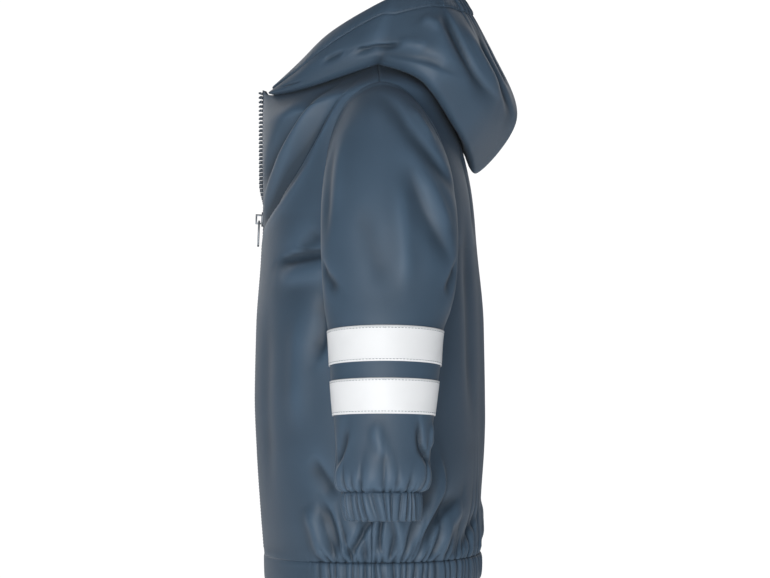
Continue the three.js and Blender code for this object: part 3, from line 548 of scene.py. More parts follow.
def bump(material, height, output, strength, distance, after=None):
    made = node(material, "ShaderNodeBump", Strength=strength, Distance=distance)
    wire(material, height, output, made, "Height")
    if after:
        wire(material, after, "Normal", made, "Normal")
    return made


def two_tone(material, factor, dark, light, low=0.35, high=0.65):
    ramp = node(material, "ShaderNodeValToRGB")
    ramp.color_ramp.elements[0].position = low
    ramp.color_ramp.elements[1].position = high
    ramp.color_ramp.elements[0].color = (*dark, 1)
    ramp.color_ramp.elements[1].color = (*light, 1)
    wire(material, factor, "Fac" if "Fac" in factor.outputs else "Value", ramp, "Fac")
    return ramp


def coated_cloth(name, dark, light, roughness):
    material = plain_material(name, light, roughness)
    shader = material.node_tree.nodes["Principled BSDF"]
    shader.inputs["Specular IOR Level"].default_value = 0.3
    shader.inputs["Sheen Weight"].default_value = 0.04
    shader.inputs["Sheen Roughness"].default_value = 0.5
    place = node(material, "ShaderNodeTexCoord")
    drift = node(material, "ShaderNodeTexNoise", Scale=9, Detail=3, Roughness=0.5)
    wire(material, place, "Object", drift, "Vector")
    # Painted shade and painted highlight: the colour is scaled darker in the creases and lighter on the
    # ridges, by the cloth's relief
    relief = node(material, "ShaderNodeAttribute")
    relief.attribute_name = "relief"
    painted_crease_shade = node(material, "ShaderNodeMapRange", From_Min=-1.2, From_Max=1, To_Min=0.58, To_Max=1.24)
    wire(material, relief, "Fac", painted_crease_shade, "Value")
    colour_with_painted_shade = node(material, "ShaderNodeVectorMath")
    colour_with_painted_shade.operation = "SCALE"
    wire(material, two_tone(material, drift, dark, light), "Color", colour_with_painted_shade, "Vector")
    wire(material, painted_crease_shade, "Result", colour_with_painted_shade, "Scale")
    wire(material, colour_with_painted_shade, "Vector", shader, "Base Color")
    dents = node(material, "ShaderNodeTexNoise", Scale=55, Detail=4, Roughness=0.55, Distortion=0.6)
    grain = node(material, "ShaderNodeTexVoronoi", Scale=900)
    wire(material, place, "Object", dents, "Vector")
    wire(material, place, "Object", grain, "Vector")
    soft = bump(material, dents, "Fac", 0.16, 0.0012)
    fine = bump(material, grain, "Distance", 0.12, 0.0003, after=soft)
    wire(material, fine, "Normal", shader, "Normal")
    return material


def knit_reverse():
    material = plain_material("reverse_knit", (0.1, 0.135, 0.175), 0.85)
    shader = material.node_tree.nodes["Principled BSDF"]
    place = node(material, "ShaderNodeTexCoord")
    ribs = node(material, "ShaderNodeTexWave", Scale=0.35, Distortion=0.8, Detail=1)
    wire(material, place, "UV", ribs, "Vector")
    tone = two_tone(material, ribs, (0.075, 0.1, 0.135), (0.12, 0.155, 0.2), 0.2, 0.8)
    wire(material, tone, "Color", shader, "Base Color")
    wire(material, bump(material, ribs, "Fac", 0.3, 0.0004), "Normal", shader, "Normal")
    return material


def bead_tape():
    material = plain_material("reflective_tape", (0.74, 0.745, 0.745), 0.5)
    shader = material.node_tree.nodes["Principled BSDF"]
    place = node(material, "ShaderNodeTexCoord")
    beads = node(material, "ShaderNodeTexVoronoi", Scale=1.6)
    wire(material, place, "UV", beads, "Vector")
    clouds = node(material, "ShaderNodeTexNoise", Scale=30, Detail=2)
    wire(material, place, "Object", clouds, "Vector")
    tone = two_tone(material, clouds, (0.73, 0.735, 0.735), (0.76, 0.765, 0.765))
    wire(material, tone, "Color", shader, "Base Color")
    wire(material, bump(material, beads, "Distance", 0.15, 0.0002), "Normal", shader, "Normal")
    return material


def woven(name, dark, light, scale):
    material = plain_material(name, light, 0.8)
    shader = material.node_tree.nodes["Principled BSDF"]
    place = node(material, "ShaderNodeTexCoord")
    weave = node(material, "ShaderNodeTexWave", Scale=scale)
    weave.bands_direction = "DIAGONAL"
    wire(material, place, "UV", weave, "Vector")
    tone = two_tone(material, weave, dark, light, 0.2, 0.8)
    wire(material, tone, "Color", shader, "Base Color")
    wire(material, bump(material, weave, "Fac", 0.3, 0.0003), "Normal", shader, "Normal")
    return material


def moulded(name, dark, light, roughness, metallic=0):
    material = plain_material(name, light, roughness)
    shader = material.node_tree.nodes["Principled BSDF"]
    shader.inputs["Metallic"].default_value = metallic
    place = node(material, "ShaderNodeTexCoord")
    wear = node(material, "ShaderNodeTexNoise", Scale=400, Detail=4)
    wire(material, place, "Object", wear, "Vector")
    wire(material, two_tone(material, wear, dark, light), "Color", shader, "Base Color")
    wire(material, bump(material, wear, "Fac", 0.08, 0.0002), "Normal", shader, "Normal")
    return material


SHELL = coated_cloth("shell_cloth", (0.042, 0.071, 0.106), (0.049, 0.081, 0.12), 0.52)
REVERSE = knit_reverse()
BEADS = bead_tape()
TAPE = woven("zip_tape", (0.028, 0.042, 0.06), (0.045, 0.062, 0.085), 1.4)
TEETH = moulded("zip_teeth", (0.05, 0.065, 0.085), (0.065, 0.083, 0.105), 0.38)
METAL = moulded("slider_metal", (0.09, 0.1, 0.112), (0.125, 0.136, 0.15), 0.4, metallic=0.7)
THREAD = woven("thread", (0.06, 0.085, 0.12), (0.1, 0.14, 0.185), 3)


def finish_piece(piece, nodes, slot, *materials, body_name="coat"):
    piece.data.materials.clear()
    for material in materials:
        piece.data.materials.append(material)
    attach(piece, body_name)
    if nodes:
        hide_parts(*nodes)
    return piece


# %% [markdown]
# ## Front and back panels
#
# Two fronts and a back are cut with an armhole in each side. A row of each panel runs from seam to
# seam, and stops at the armhole where there is one. The rows stand closer near the top and bottom
# of the armhole, where its edge turns quickly. Along every seam the cloth dips a little, as it does
# where it is sewn, so a seam reads as a fine groove.

# %% Panel rows
ARMHOLE_TOP = -17.5
ARMHOLE_BOTTOM = -160
ARMHOLE_FRONT = 25
ARMHOLE_BACK = 38.5
SEAM_TURN = 0.04
GATHER_START = 60
HEM_GATHERS = 90
SMALL_PUFF = 2.1
WIDE_PUFF = 3.2

armhole_middle = (ARMHOLE_TOP + ARMHOLE_BOTTOM) / 2
armhole_half = (ARMHOLE_TOP - ARMHOLE_BOTTOM) / 2
HEM_TUCK = 1.4
even_steps = np.linspace(-1, 1, 49)
armhole_steps = (even_steps + np.sin(even_steps * math.pi / 2)) / 2
panel_levels = np.concatenate([
    np.linspace(HEM_SEAM - HEM_TUCK, -370, 36)[:-1],
    np.linspace(-370, ARMHOLE_BOTTOM, 66)[:-1],
    armhole_middle + armhole_half * armhole_steps[:-1],
    np.linspace(ARMHOLE_TOP, NECK_LEVEL, 24),
])


def armhole_width(level, width):
    height = np.clip((level - armhole_middle) / armhole_half, -1, 1)
    return width * np.sqrt(1 - height * height)


def turn_at_x(x, level):
    return np.degrees(np.arcsin(x / body_at(level)["x_side"]))


def seam_dip(distance, depth=0.9, width=1.7):
    return -depth * np.exp(-((distance / width) ** 2))


def gather_fade(turn):
    return smooth((np.abs(turn_between(0, turn)) - GATHER_START + 6) / 14)


def gather_share(turn):
    return (turn % 360) / 360


def fanned(turn, rise):
    """Folds lean away from each side seam as they rise, so a place is read from nearer the seam"""
    for seam in (92, -92):
        offset = turn_between(seam, turn)
        turn = turn - offset * rise / (48 + rise) * np.exp(-((offset / 45) ** 2))
    return turn


def hem_gathers(turn, level):
    """Gathers above the hem's seam: small ones fade first, and wider ones run further up"""
    rise = np.maximum(level - HEM_SEAM, 0)
    share = gather_share(fanned(turn, rise))
    small = SMALL_PUFF * puffs(share, HEM_GATHERS, 1) * np.exp(-((rise / 16) ** 2))
    uneven = 40 + 14 * np.sin(turn * 0.17) + 8 * np.sin(turn * 0.39 + 2)
    wide = WIDE_PUFF * puffs(share, HEM_GATHERS // 2, 4) * np.exp(-((rise / uneven) ** 2))
    swell = 0.6 * np.exp(-(((rise - 14) / 12) ** 2)) - 1.4 * smooth(-np.cos(np.radians(turn)) * 2 - 0.6)
    return (small + (wide + swell) * smooth(rise / 8)) * gather_fade(turn)


def panel_point(turn, level, seam_distance):
    lift = body_lift(turn, level) + hem_gathers(turn, level) + seam_dip(seam_distance)
    tuck = seam_dip(level - HEM_SEAM + HEM_TUCK, 1) * (0.25 + 1.4 * gather_fade(turn))
    lift = lift + tuck + seam_dip(NECK_LEVEL - level, 0.5)
    return raised(body_base(turn, level), lift)


def front_panel(side):
    columns = 125

    def lay(i, j):
        level = panel_levels[j]
        first = turn_at_x(ZIP_EDGE, level)
        last = 90 - np.maximum(SEAM_TURN, armhole_width(level, ARMHOLE_FRONT))
        share = i / columns if side > 0 else 1 - i / columns
        turn = first + (last - first) * share
        place = panel_point(side * turn, level, (last - turn) * TURN_MM)
        return place, np.stack([turn * TURN_MM, level], axis=-1)

    word = "left" if side > 0 else "right"
    piece = cloth_sheet(f"shell_front_{word}", columns, len(panel_levels) - 1, lay)
    return finish_piece(piece, [f"front_{word}"], "shell_cloth", SHELL, REVERSE)


def back_panel():
    columns = 264

    def lay(i, j):
        level = panel_levels[j]
        inset = np.maximum(SEAM_TURN, armhole_width(level, ARMHOLE_BACK))
        turn = 90 + inset + (180 - 2 * inset) * i / columns
        edge = np.minimum(turn - 90 - inset, 270 - inset - turn)
        return panel_point(turn, level, edge * TURN_MM), np.stack([turn * TURN_MM, level], axis=-1)

    piece = cloth_sheet("shell_back", columns, len(panel_levels) - 1, lay)
    return finish_piece(piece, ["back"], "shell_cloth", SHELL, REVERSE)


front_left, front_right, back = front_panel(1), front_panel(-1), back_panel()
print("back panel faces:", len(back.data.polygons))

# %% [markdown]
# ## Gathered hem
#
# The hem is a casing with elastic inside. It is smooth at the front and gathered round the sides
# and back, where the elastic is. The casing puffs out between its stitched top and its folded lower
# edge, and each gather runs from one to the other.

# %% Hem casing
HEM_GAP = 0.1


def slant(turn, share):
    return (share - 0.5) * (1.1 * np.sin(turn * 0.21) + 0.8 * np.sin(turn * 0.083 + 1))


def hem_point(turn, level):
    share = (level - HEM_BOTTOM) / (HEM_SEAM - HEM_GAP - HEM_BOTTOM)
    bulge = 1.5 * np.sin(math.pi * np.clip(share, 0, 1)) ** 0.6
    ruffle = 1.9 * puffs(gather_share(turn + slant(turn, share)), HEM_GATHERS, 1)
    ruffle = ruffle + 0.5 * puffs(gather_share(turn), HEM_GATHERS * 2, 5)
    fade = gather_fade(turn)
    lift = 0.2 + 0.2 * bulge + (0.3 + 0.8 * bulge + ruffle) * fade + seam_dip((1 - share) * 20, 0.5)
    return raised(body_base(turn, level), lift)


def hem_casing(name, cad_node, start, end, columns):
    rows = 14

    def lay(i, j):
        level = HEM_BOTTOM + (HEM_SEAM - HEM_GAP - HEM_BOTTOM) * j / rows
        first, last = start(level), end(level)
        turn = first + (last - first) * i / columns
        return hem_point(turn, level), np.stack([turn * TURN_MM, level], axis=-1)

    piece = cloth_sheet(name, columns, rows, lay, thick=1.6)
    return finish_piece(piece, [cad_node], "shell_cloth", SHELL, REVERSE)


def zip_turn(level):
    return turn_at_x(ZIP_EDGE, level)


def fixed(turn):
    return lambda level: np.full(np.shape(level), float(turn))


hem_left = hem_casing("casing_hem_left", "hem_front_left", zip_turn, fixed(90 - SEAM_TURN), 130)
hem_right = hem_casing(
    "casing_hem_right", "hem_front_right", fixed(SEAM_TURN - 90), lambda level: -zip_turn(level), 130
)
hem_back = hem_casing("casing_hem_back", "hem_back", fixed(90 + SEAM_TURN), fixed(270 - SEAM_TURN), 300)

# %% [markdown]
# ## Sleeves
#
# A sleeve is one tube, set into the armhole. Its rings run from just under the panels to the wrist,
# and a smooth curve joins them along each angle. The angle starts at the outside of the arm and
# runs over the front. The right sleeve is worked out the same way and mirrored, with creases of its
# own.

# %% Sleeve rings
SLEEVE = table(
    "name x_in z_in x_out z_out y_front y_back",
    [
        ("cap", 143.5, -163, 148, -28, -37, 66),
        ("upper", 147.5, -166, 172, -46, -39, 71),
        ("upper", 150.5, -171, 191, -73, -40.5, 74),
        ("upper", 152.5, -178, 205, -104, -41, 75.5),
        ("upper", 154, -190, 214, -137, -41, 75.5),
        ("elbow", 156, -208, 219, -171, -40, 74),
        ("elbow", 158.5, -226, 222.5, -200, -38, 69),
        ("band", 161, -238, 226, -226, -34.8, 62.5),
        ("band", 164, -266, 228, -256, -32.8, 60.3),
        ("band", 166, -278.5, 229, -270, -32, 58.8),
        ("band", 169, -306, 230, -300, -29.7, 55.2),
        ("wrist", 172, -335, 230.5, -330, -27.5, 51.5),
        ("wrist", 176, -356, 229, -352, -26, 49),
        ("seam", 179, -369, 226, -366, -24, 45),
        ("cuff", 180, -380, 225.5, -378, -22.5, 44),
        ("end", 181, -392, 224, -391, -20.5, 44),
    ],
)
CUFF_SEAM = 14
CUFF_END = 16
ANGLE_MM = 0.95
ROW_MM = 27
ARMHOLE_TUCK = 2.5
ARMHOLE_SINK = 1.4

SLEEVE_CREASES = {
    1: table(
        "path width depth lean",
        [
            ([(14, 0.9), (-4, 1.6), (-16, 2.4), (-34, 2.9), (-60, 3.2), (-84, 2.8)], 9, -4.2, 0.3),
            ([(-36, 0.8), (-54, 1.1), (-72, 1.8)], 6, -3.5, 0.4),
            ([(-22, 1.4), (-32, 2), (-46, 2.4)], 5, 2.6, 0),
            ([(-12, 3.1), (-18, 3.9), (-30, 4.8), (-50, 5.4), (-74, 5.9)], 10, -3.8, 0.3),
            ([(-22, 3.4), (-44, 4.2), (-64, 5)], 8, 2.6, 0),
            ([(60, 1.4), (64, 3.2), (68, 5.4)], 11, -2.6, 0.2),
            ([(46, 2), (50, 4.8)], 9, 1.3, 0),
            ([(-8, 3.8), (-12, 5.4), (-16, 7)], 7, 2.1, 0),
            ([(28, 4.4), (12, 5.8), (0, 7)], 10, -1.9, 0),
            ([(86, 5.4), (66, 6.2), (46, 6.8)], 6, -3.2, 0.3),
            ([(-60, 6.8), (-84, 5.4)], 7, -3.5, 0.3),
            ([(-42, 11.1), (-50, 11.6), (-56, 12), (-84, 12.5)], 4.5, -5.1, 0.5),
            ([(-70, 11.2), (-84, 12)], 6, 2.9, 0),
            ([(14, 11.2), (4, 11.8), (-2, 12.4)], 7, 2.2, 0),
            ([(44, 11.3), (60, 12), (78, 12.8)], 6, -3.2, 0.3),
            ([(150, 2), (160, 4.4), (176, 5.6)], 9, -4.8, 0.3),
            ([(-150, 2.6), (-166, 4.6), (176, 6.4)], 9, -4.2, 0.3),
            ([(130, 9), (150, 11), (160, 12.6)], 8, -3.2, 0.3),
            ([(-130, 11.2), (-150, 12), (-164, 13)], 7, -3.5, 0.3),
        ],
    ),
    -1: table(
        "path width depth lean",
        [
            ([(0, 1.2), (-14, 2.2), (-30, 2.9), (-52, 3.2), (-78, 2.8)], 6, -4.8, 0.5),
            ([(-30, 0.9), (-50, 1.2), (-70, 2)], 6, -3.5, 0.4),
            ([(-8, 2.9), (-20, 4), (-34, 5), (-58, 5.8)], 8, -5.1, 0.4),
            ([(-20, 3.3), (-40, 4.1), (-60, 4.8)], 8, 2.6, 0),
            ([(62, 1.6), (66, 3.4), (72, 5.6)], 8, -4.2, 0.2),
            ([(44, 2.2), (48, 4.6)], 6, 1.9, 0),
            ([(-6, 3.6), (-10, 5.6), (-12, 7)], 7, 2.1, 0),
            ([(84, 5.6), (62, 6.4), (42, 6.9)], 6, -3.2, 0.3),
            ([(-64, 7), (-86, 5.6)], 7, -3.2, 0.3),
            ([(-30, 11.2), (-44, 11.8), (-64, 12.5)], 5, -4.5, 0.5),
            ([(20, 11.3), (8, 12), (2, 12.5)], 7, 2.2, 0),
            ([(50, 11.4), (66, 12.2), (80, 12.9)], 6, -2.9, 0.3),
            ([(148, 2.2), (160, 4.2), (174, 5.8)], 9, -4.5, 0.3),
            ([(-148, 2.4), (-164, 4.8), (178, 6.2)], 9, -4.2, 0.3),
        ],
    ),
}


def armhole_edge(side, angle):
    sin, cos = np.sin(np.radians(angle)), np.cos(np.radians(angle))
    width = np.where(sin > 0, -ARMHOLE_FRONT, -ARMHOLE_BACK)
    turn = side * (90 + width * sin)
    level = armhole_middle + armhole_half * cos
    flip = np.array([side, 1, 1])
    return body(turn, level) * flip, body_normal(turn, level) * flip


def sleeve_controls(side, angle):
    point, normal = armhole_edge(side, angle)
    ahead = armhole_edge(side, angle + 0.5)[0] - armhole_edge(side, angle - 0.5)[0]
    rings = [point - unit(np.cross(normal, unit(ahead))) * ARMHOLE_TUCK - normal * ARMHOLE_SINK]
    lean, swing = np.cos(np.radians(angle)), -np.sin(np.radians(angle))
    for ring in SLEEVE:
        x = (ring["x_in"] + ring["x_out"]) / 2 + (ring["x_out"] - ring["x_in"]) / 2 * lean
        y = (ring["y_front"] + ring["y_back"]) / 2 + (ring["y_back"] - ring["y_front"]) / 2 * swing
        z = (ring["z_in"] + ring["z_out"]) / 2 + (ring["z_out"] - ring["z_in"]) / 2 * lean
        rings.append(np.stack([x, y, z], axis=-1))
    return np.array(rings)


class Sleeve:
    """One sleeve's surface at (angle, row). The armhole's edge is worked out once for each degree."""

    def __init__(self, side):
        self.side = side
        self.degrees = np.arange(-180, 540, 1.0)
        self.controls = sleeve_controls(side, self.degrees)

    def base(self, angle, row):
        angle, row = np.broadcast_arrays(np.asarray(angle, float), np.asarray(row, float))
        place = angle.ravel() + 180
        low = np.floor(place).astype(int)
        part = (place - low)[:, None]
        controls = self.controls[:, low] * (1 - part) + self.controls[:, low + 1] * part
        return spline(controls, row.ravel(), CUFF_END).reshape(*angle.shape, 3)

    def lift(self, angle, row):
        creases = all_creases(SLEEVE_CREASES[self.side], angle, row, ANGLE_MM, ROW_MM)
        waves = 0.3 * np.sin(np.radians(angle) * 3 + row * 0.8 + self.side)
        fade = smooth((row - 0.2) / 1.2) * smooth((CUFF_SEAM - row) / 1.5)
        return (creases + waves) * fade

    def at(self, angle, row, more=0):
        normal = normal_of(self.base, angle, row, 1, 0.03)
        return self.base(angle, row) + normal * (self.lift(angle, row) + more)[..., None]


WRIST_GATHERS = 18
CUFF_GATHERS = 28
ROW_LENGTH = 13.5


def wrist_gathers(angle, row):
    """Puffs above the cuff: wide ones reach 35 mm up the sleeve, and small ones fade sooner"""
    share = (angle % 360) / 360
    rise = np.maximum(CUFF_SEAM - row, 0) * ROW_LENGTH
    reach = 24 + 9 * np.sin(2 * math.pi * 5 * share + 1)
    height = smooth(1.2 - rise / reach) * (0.4 + 0.6 * smooth(rise / 6))
    wide = 2.6 * puffs(share, WRIST_GATHERS, 2) * height
    small = 1.5 * puffs(share, CUFF_GATHERS, 1) * np.exp(-((rise / 6) ** 2))
    swell = 2.6 * np.exp(-(((rise - 12) / 10) ** 2)) * smooth(rise / 5)
    return wide + small + swell


def cap_ridge(angle, row):
    """The sleeve's head stands up a little where its seam turns under, over the shoulder"""
    return 1.1 * np.exp(-(((row * ROW_MM - 5) / 3) ** 2)) * smooth(np.cos(np.radians(angle)) + 0.4)


def flip_x(side, points):
    return points * np.array([side, 1, 1])


SLEEVES = {1: Sleeve(1), -1: Sleeve(-1)}
SLEEVE_TUCK = 0.12
sleeve_rows = np.concatenate([
    np.linspace(0, 1, 16)[:-1],
    np.linspace(1, 11.5, 108)[:-1],
    np.linspace(11.5, CUFF_SEAM + SLEEVE_TUCK, 30),
])
WORDS = {1: "left", -1: "right"}


def ring_angle(side, i, columns):
    return 360 * (i / columns if side > 0 else 1 - i / columns)


def sleeve_tube(side):
    columns, form = 196, SLEEVES[side]

    def lay(i, j):
        angle, row = ring_angle(side, i, columns), sleeve_rows[j]
        lift = form.lift(angle, row) + wrist_gathers(angle, row) + cap_ridge(angle, row)
        lift = lift - 3.4 * smooth((row - CUFF_SEAM + 0.2) / 0.3)
        place = raised(form.base(angle, row), lift, side, ring=True)
        return flip_x(side, place), np.stack([angle * ANGLE_MM, row * ROW_MM], axis=-1)

    piece = cloth_sheet(f"shell_sleeve_{WORDS[side]}", columns, len(sleeve_rows) - 1, lay, ring=True)
    return finish_piece(piece, [f"sleeve_{WORDS[side]}"], "shell_cloth", SHELL, REVERSE)


sleeves = [sleeve_tube(side) for side in (1, -1)]
print("sleeve faces:", len(sleeves[0].data.polygons))

# %% [markdown]
# ## Cuffs
#
# Each cuff is a casing round an elastic, 22 mm high. Its gathers are narrow and slightly slanted,
# and the casing swells between its seam and its folded end.


# %% Cuffs
def cuff_lift(angle, share):
    radians = np.radians(angle)
    shift = (share - 0.5) * (5 * np.sin(3 * radians) + 4 * np.sin(5 * radians + 1))
    around = ((angle + 3 * share + shift) % 360) / 360
    ruffle = 2 * puffs(around, CUFF_GATHERS, 1) + 0.5 * puffs(around, CUFF_GATHERS * 2, 3)
    bulge = 1.1 * np.sin(math.pi * np.clip(share, 0, 1)) ** 0.6
    return ruffle * (0.6 + 0.4 * np.sin(math.pi * share)) + bulge - 1.6 + seam_dip(share * 20, 0.4)


def cuff(side):
    columns, rows, form = 280, 16, SLEEVES[side]

    def lay(i, j):
        angle, share = ring_angle(side, i, columns), j / rows
        row = CUFF_SEAM + (CUFF_END - CUFF_SEAM) * share
        place = raised(form.base(angle, row), cuff_lift(angle, share), side, ring=True)
        return flip_x(side, place), np.stack([angle * ANGLE_MM, row * ROW_MM], axis=-1)

    piece = cloth_sheet(f"casing_cuff_{WORDS[side]}", columns, rows, lay, thick=1.6, ring=True)
    return finish_piece(piece, [f"cuff_{WORDS[side]}"], "shell_cloth", SHELL, REVERSE)


cuffs = [cuff(side) for side in (1, -1)]

# %% [markdown]
# ## Reflective bands
#
# Two bands of tape, 30 mm wide, go round each lower sleeve. They lie on the sleeve and follow its
# creases, a little stiffer than the cloth, so they are made from the sleeve's own surface.

# %% Bands
BAND_ROWS = {"upper": (8, 9), "lower": (10, 11)}
BAND_LIFT = 1.15


def band(side, word):
    columns, rows, form = 132, 14, SLEEVES[side]
    start, end = BAND_ROWS[word]

    def lay(i, j):
        angle, row = ring_angle(side, i, columns), start + (end - start) * j / rows
        place = raised(form.base(angle, row), form.lift(angle, row) + BAND_LIFT, side, ring=True)
        return flip_x(side, place), np.stack([angle * ANGLE_MM, row * 30], axis=-1)

    piece = cloth_sheet(f"tape_band_{WORDS[side]}_{word}", columns, rows, lay, thick=0.6, ring=True)
    return finish_piece(piece, [f"band_{WORDS[side]}_{word}"], "reflective_tape", BEADS, BEADS)


bands = {(side, word): band(side, word) for side in (1, -1) for word in BAND_ROWS}

# %% [markdown]
# ## Hood
#
# The hood lies open on the shoulders. From the neckline its cloth goes out over the shoulders,
# folds back on itself and rises to the rim of the face opening. A rib for each turn goes through
# those places, and the cloth is laid over the ribs. The two halves lap where they are joined. A
# casing runs round the opening, gathered by elastic at the crown, and long folds run from the
# crown down to the back.

# %% Hood ribs
HOOD = table(
    "turn fold_turn fold_level roll low high x_rim y_rim z_rim",
    [
        (24, 25, 43.5, 2.6, 0.5, 0.5, 31, -82, -13.5),
        (36, 38, 39, 3, 2, 1, 46, -60, 7),
        (53, 56, 32, 4, 5, 4, 64, -38.5, 27),
        (72, 74, 24, 5, 8, 7, 80, -5.8, 47),
        (90, 90, 14, 6, 11, 9, 87.5, 24, 61),
        (116, 124, -15, 8, 17, 14, 80, 53, 68),
        (142, 147, -61, 6.5, 28, 22, 55, 69, 68.5),
        (180, 180, -94, 4, 43, 29, 0, 76.5, 72),
    ],
)
HOOD_FRONT_TURN = 24
HOOD_FOLD = 5
HOOD_RIM = 8
CASING_DEPTH = 22
CROWN_START = 138
HOOD_TURN_MM = 1.5
HOOD_ROW_MM = 34
hood_at = curve_through(HOOD, "turn")

HOOD_CREASES = table(
    "path width depth lean",
    [
        ([(119, 7.5), (122, 6.8), (128, 6.2), (137, 5.95), (150, 5.9)], 6, -6, 0.5),
        ([(152, 7.4), (148, 6.9), (153, 6.5), (164, 6.1), (174, 5.8)], 6, -4.6, 0.4),
        ([(134, 7.3), (134, 6.7), (142, 6.3), (154, 6)], 7, 3.6, 0),
        ([(168, 7.6), (166, 6.9), (172, 6.4)], 5, -5.1, 0.4),
        ([(80, 5.95), (89, 5.62), (99, 5.87)], 5, -3.3, 0.5),
        ([(88, 5.5), (96, 5.25), (107, 5.3), (114, 5.5), (124, 5.75)], 5, -3.9, -0.5),
        ([(96, 5.9), (110, 5.85)], 8, 3, 0),
        ([(61, 6.1), (74, 6)], 6, -2.1, 0.3),
        ([(104, 6.9), (116, 6.7)], 8, 3, 0),
        ([(34, 5.6), (50, 5.3)], 4, -2.1, 0.3),
    ],
)


def hood_ribs(turn):
    rib = hood_at(turn)
    edge = body_base(turn, NECK_LEVEL)
    up = unit(edge - body_base(turn, NECK_LEVEL - 1))
    out = normal_of(body_base, turn, np.full(turn.shape, float(NECK_LEVEL)), 0.5, 1)

    def on_body(part, lift, rise=0):
        at_turn = turn + (rib["fold_turn"] - turn) * part
        level = NECK_LEVEL + (rib["fold_level"] - NECK_LEVEL) * part + rise
        normal = normal_of(body_base, at_turn, level, 0.8, 1.5)
        return body_base(at_turn, level) + normal * lift[..., None]

    clear = 1.2 + 0.36 * rib["roll"]
    fold = on_body(1, clear + rib["roll"])
    rim = np.stack([rib["x_rim"], rib["y_rim"], rib["z_rim"]], axis=-1)
    away = normal_of(body_base, rib["fold_turn"], rib["fold_level"], 0.8, 1.5) * np.array([1, 1, 0])
    away = unit(away)
    return np.array([
        edge + up * 0.6,
        edge + up * 2.1 + out * 0.6,
        on_body(0.15, clear),
        on_body(0.5, clear),
        on_body(1, clear, rib["roll"] * 0.7),
        fold,
        fold + (rim - fold) * 0.3 + away * rib["low"][..., None],
        fold + (rim - fold) * 0.65 + away * rib["high"][..., None],
        rim,
    ])


HOOD_DEGREES = np.arange(HOOD_FRONT_TURN - 3, 181, 0.5)
HOOD_CONTROLS = hood_ribs(HOOD_DEGREES)


def hood_base(turn, row):
    turn, row = np.broadcast_arrays(np.asarray(turn, float), np.asarray(row, float))
    past = turn > 180
    near = np.where(past, 360 - turn, turn)
    place = (near.ravel() - HOOD_DEGREES[0]) * 2
    low = np.clip(np.floor(place).astype(int), 0, len(HOOD_DEGREES) - 2)
    part = (place - low)[:, None]
    controls = HOOD_CONTROLS[:, low] * (1 - part) + HOOD_CONTROLS[:, low + 1] * part
    point = spline(controls, row.ravel(), HOOD_RIM).reshape(*turn.shape, 3)
    return point * np.stack([np.where(past, -1, 1), np.ones(turn.shape), np.ones(turn.shape)], axis=-1)


def hood_lift(turn, row):
    """The right half has the left's creases, less deep and up to 7 degrees further round"""
    right = turn > 180
    near = np.where(right, 360 - turn, turn)
    middle = np.sin(math.pi * (near - HOOD_FRONT_TURN) / (180 - HOOD_FRONT_TURN)) * right
    lift = all_creases(HOOD_CREASES, near + 7 * middle, row + 0.12 * middle, HOOD_TURN_MM, HOOD_ROW_MM)
    return lift * (1 - 0.25 * middle) * smooth((row - HOOD_FOLD - 0.1) / 0.6)


def hood(turn, row, more=0):
    normal = normal_of(hood_base, turn, row, 0.5, 0.02)
    return hood_base(turn, row) + normal * (hood_lift(turn, row) + more)[..., None]


def rows_below_rim(turn, depth):
    """The row on each rib that lies a given length short of the rim"""
    fine = np.linspace(HOOD_RIM, HOOD_FOLD, 91)
    line = np.array([hood_base(turn, np.full(turn.shape, row)) for row in fine])
    lengths = np.cumsum(np.linalg.norm(np.diff(line, axis=0), axis=-1), axis=0)
    lengths = np.vstack([np.zeros(turn.shape), lengths])
    short_rib = np.minimum(1, lengths[-1] / (CASING_DEPTH * 1.8))
    wanted = depth * short_rib * (1 + 0.25 * smooth((turn - 125) / 25))
    return np.array([np.interp(w, lengths[:, k], fine) for k, w in enumerate(wanted)]), lengths[-1]


# %% Hood halves
CASING_TUCK = 5
HALVES_LAP = 0.8
UNDER_SHARE = 0.36
CROWN_PUFF = 2.6
CROWN_PUFF_REACH = 26
rim_degrees = np.arange(HOOD_FRONT_TURN, 180.5, 0.5)
seam_rows, rib_rises = rows_below_rim(rim_degrees, CASING_DEPTH)
tucked_rows = rows_below_rim(rim_degrees, CASING_DEPTH - CASING_TUCK)[0]


def casing_seam(turn):
    return np.interp(np.minimum(turn, 360 - turn), rim_degrees, seam_rows)


CROWN_GATHERS = 28


def crown_fade(turn):
    return smooth((np.minimum(turn, 360 - turn) - CROWN_START + 6) / 12)


def crown_puffs(turn, slant=0):
    share = (turn + slant - CROWN_START) / (360 - 2 * CROWN_START)
    return puffs(share, CROWN_GATHERS, 2) * crown_fade(turn)


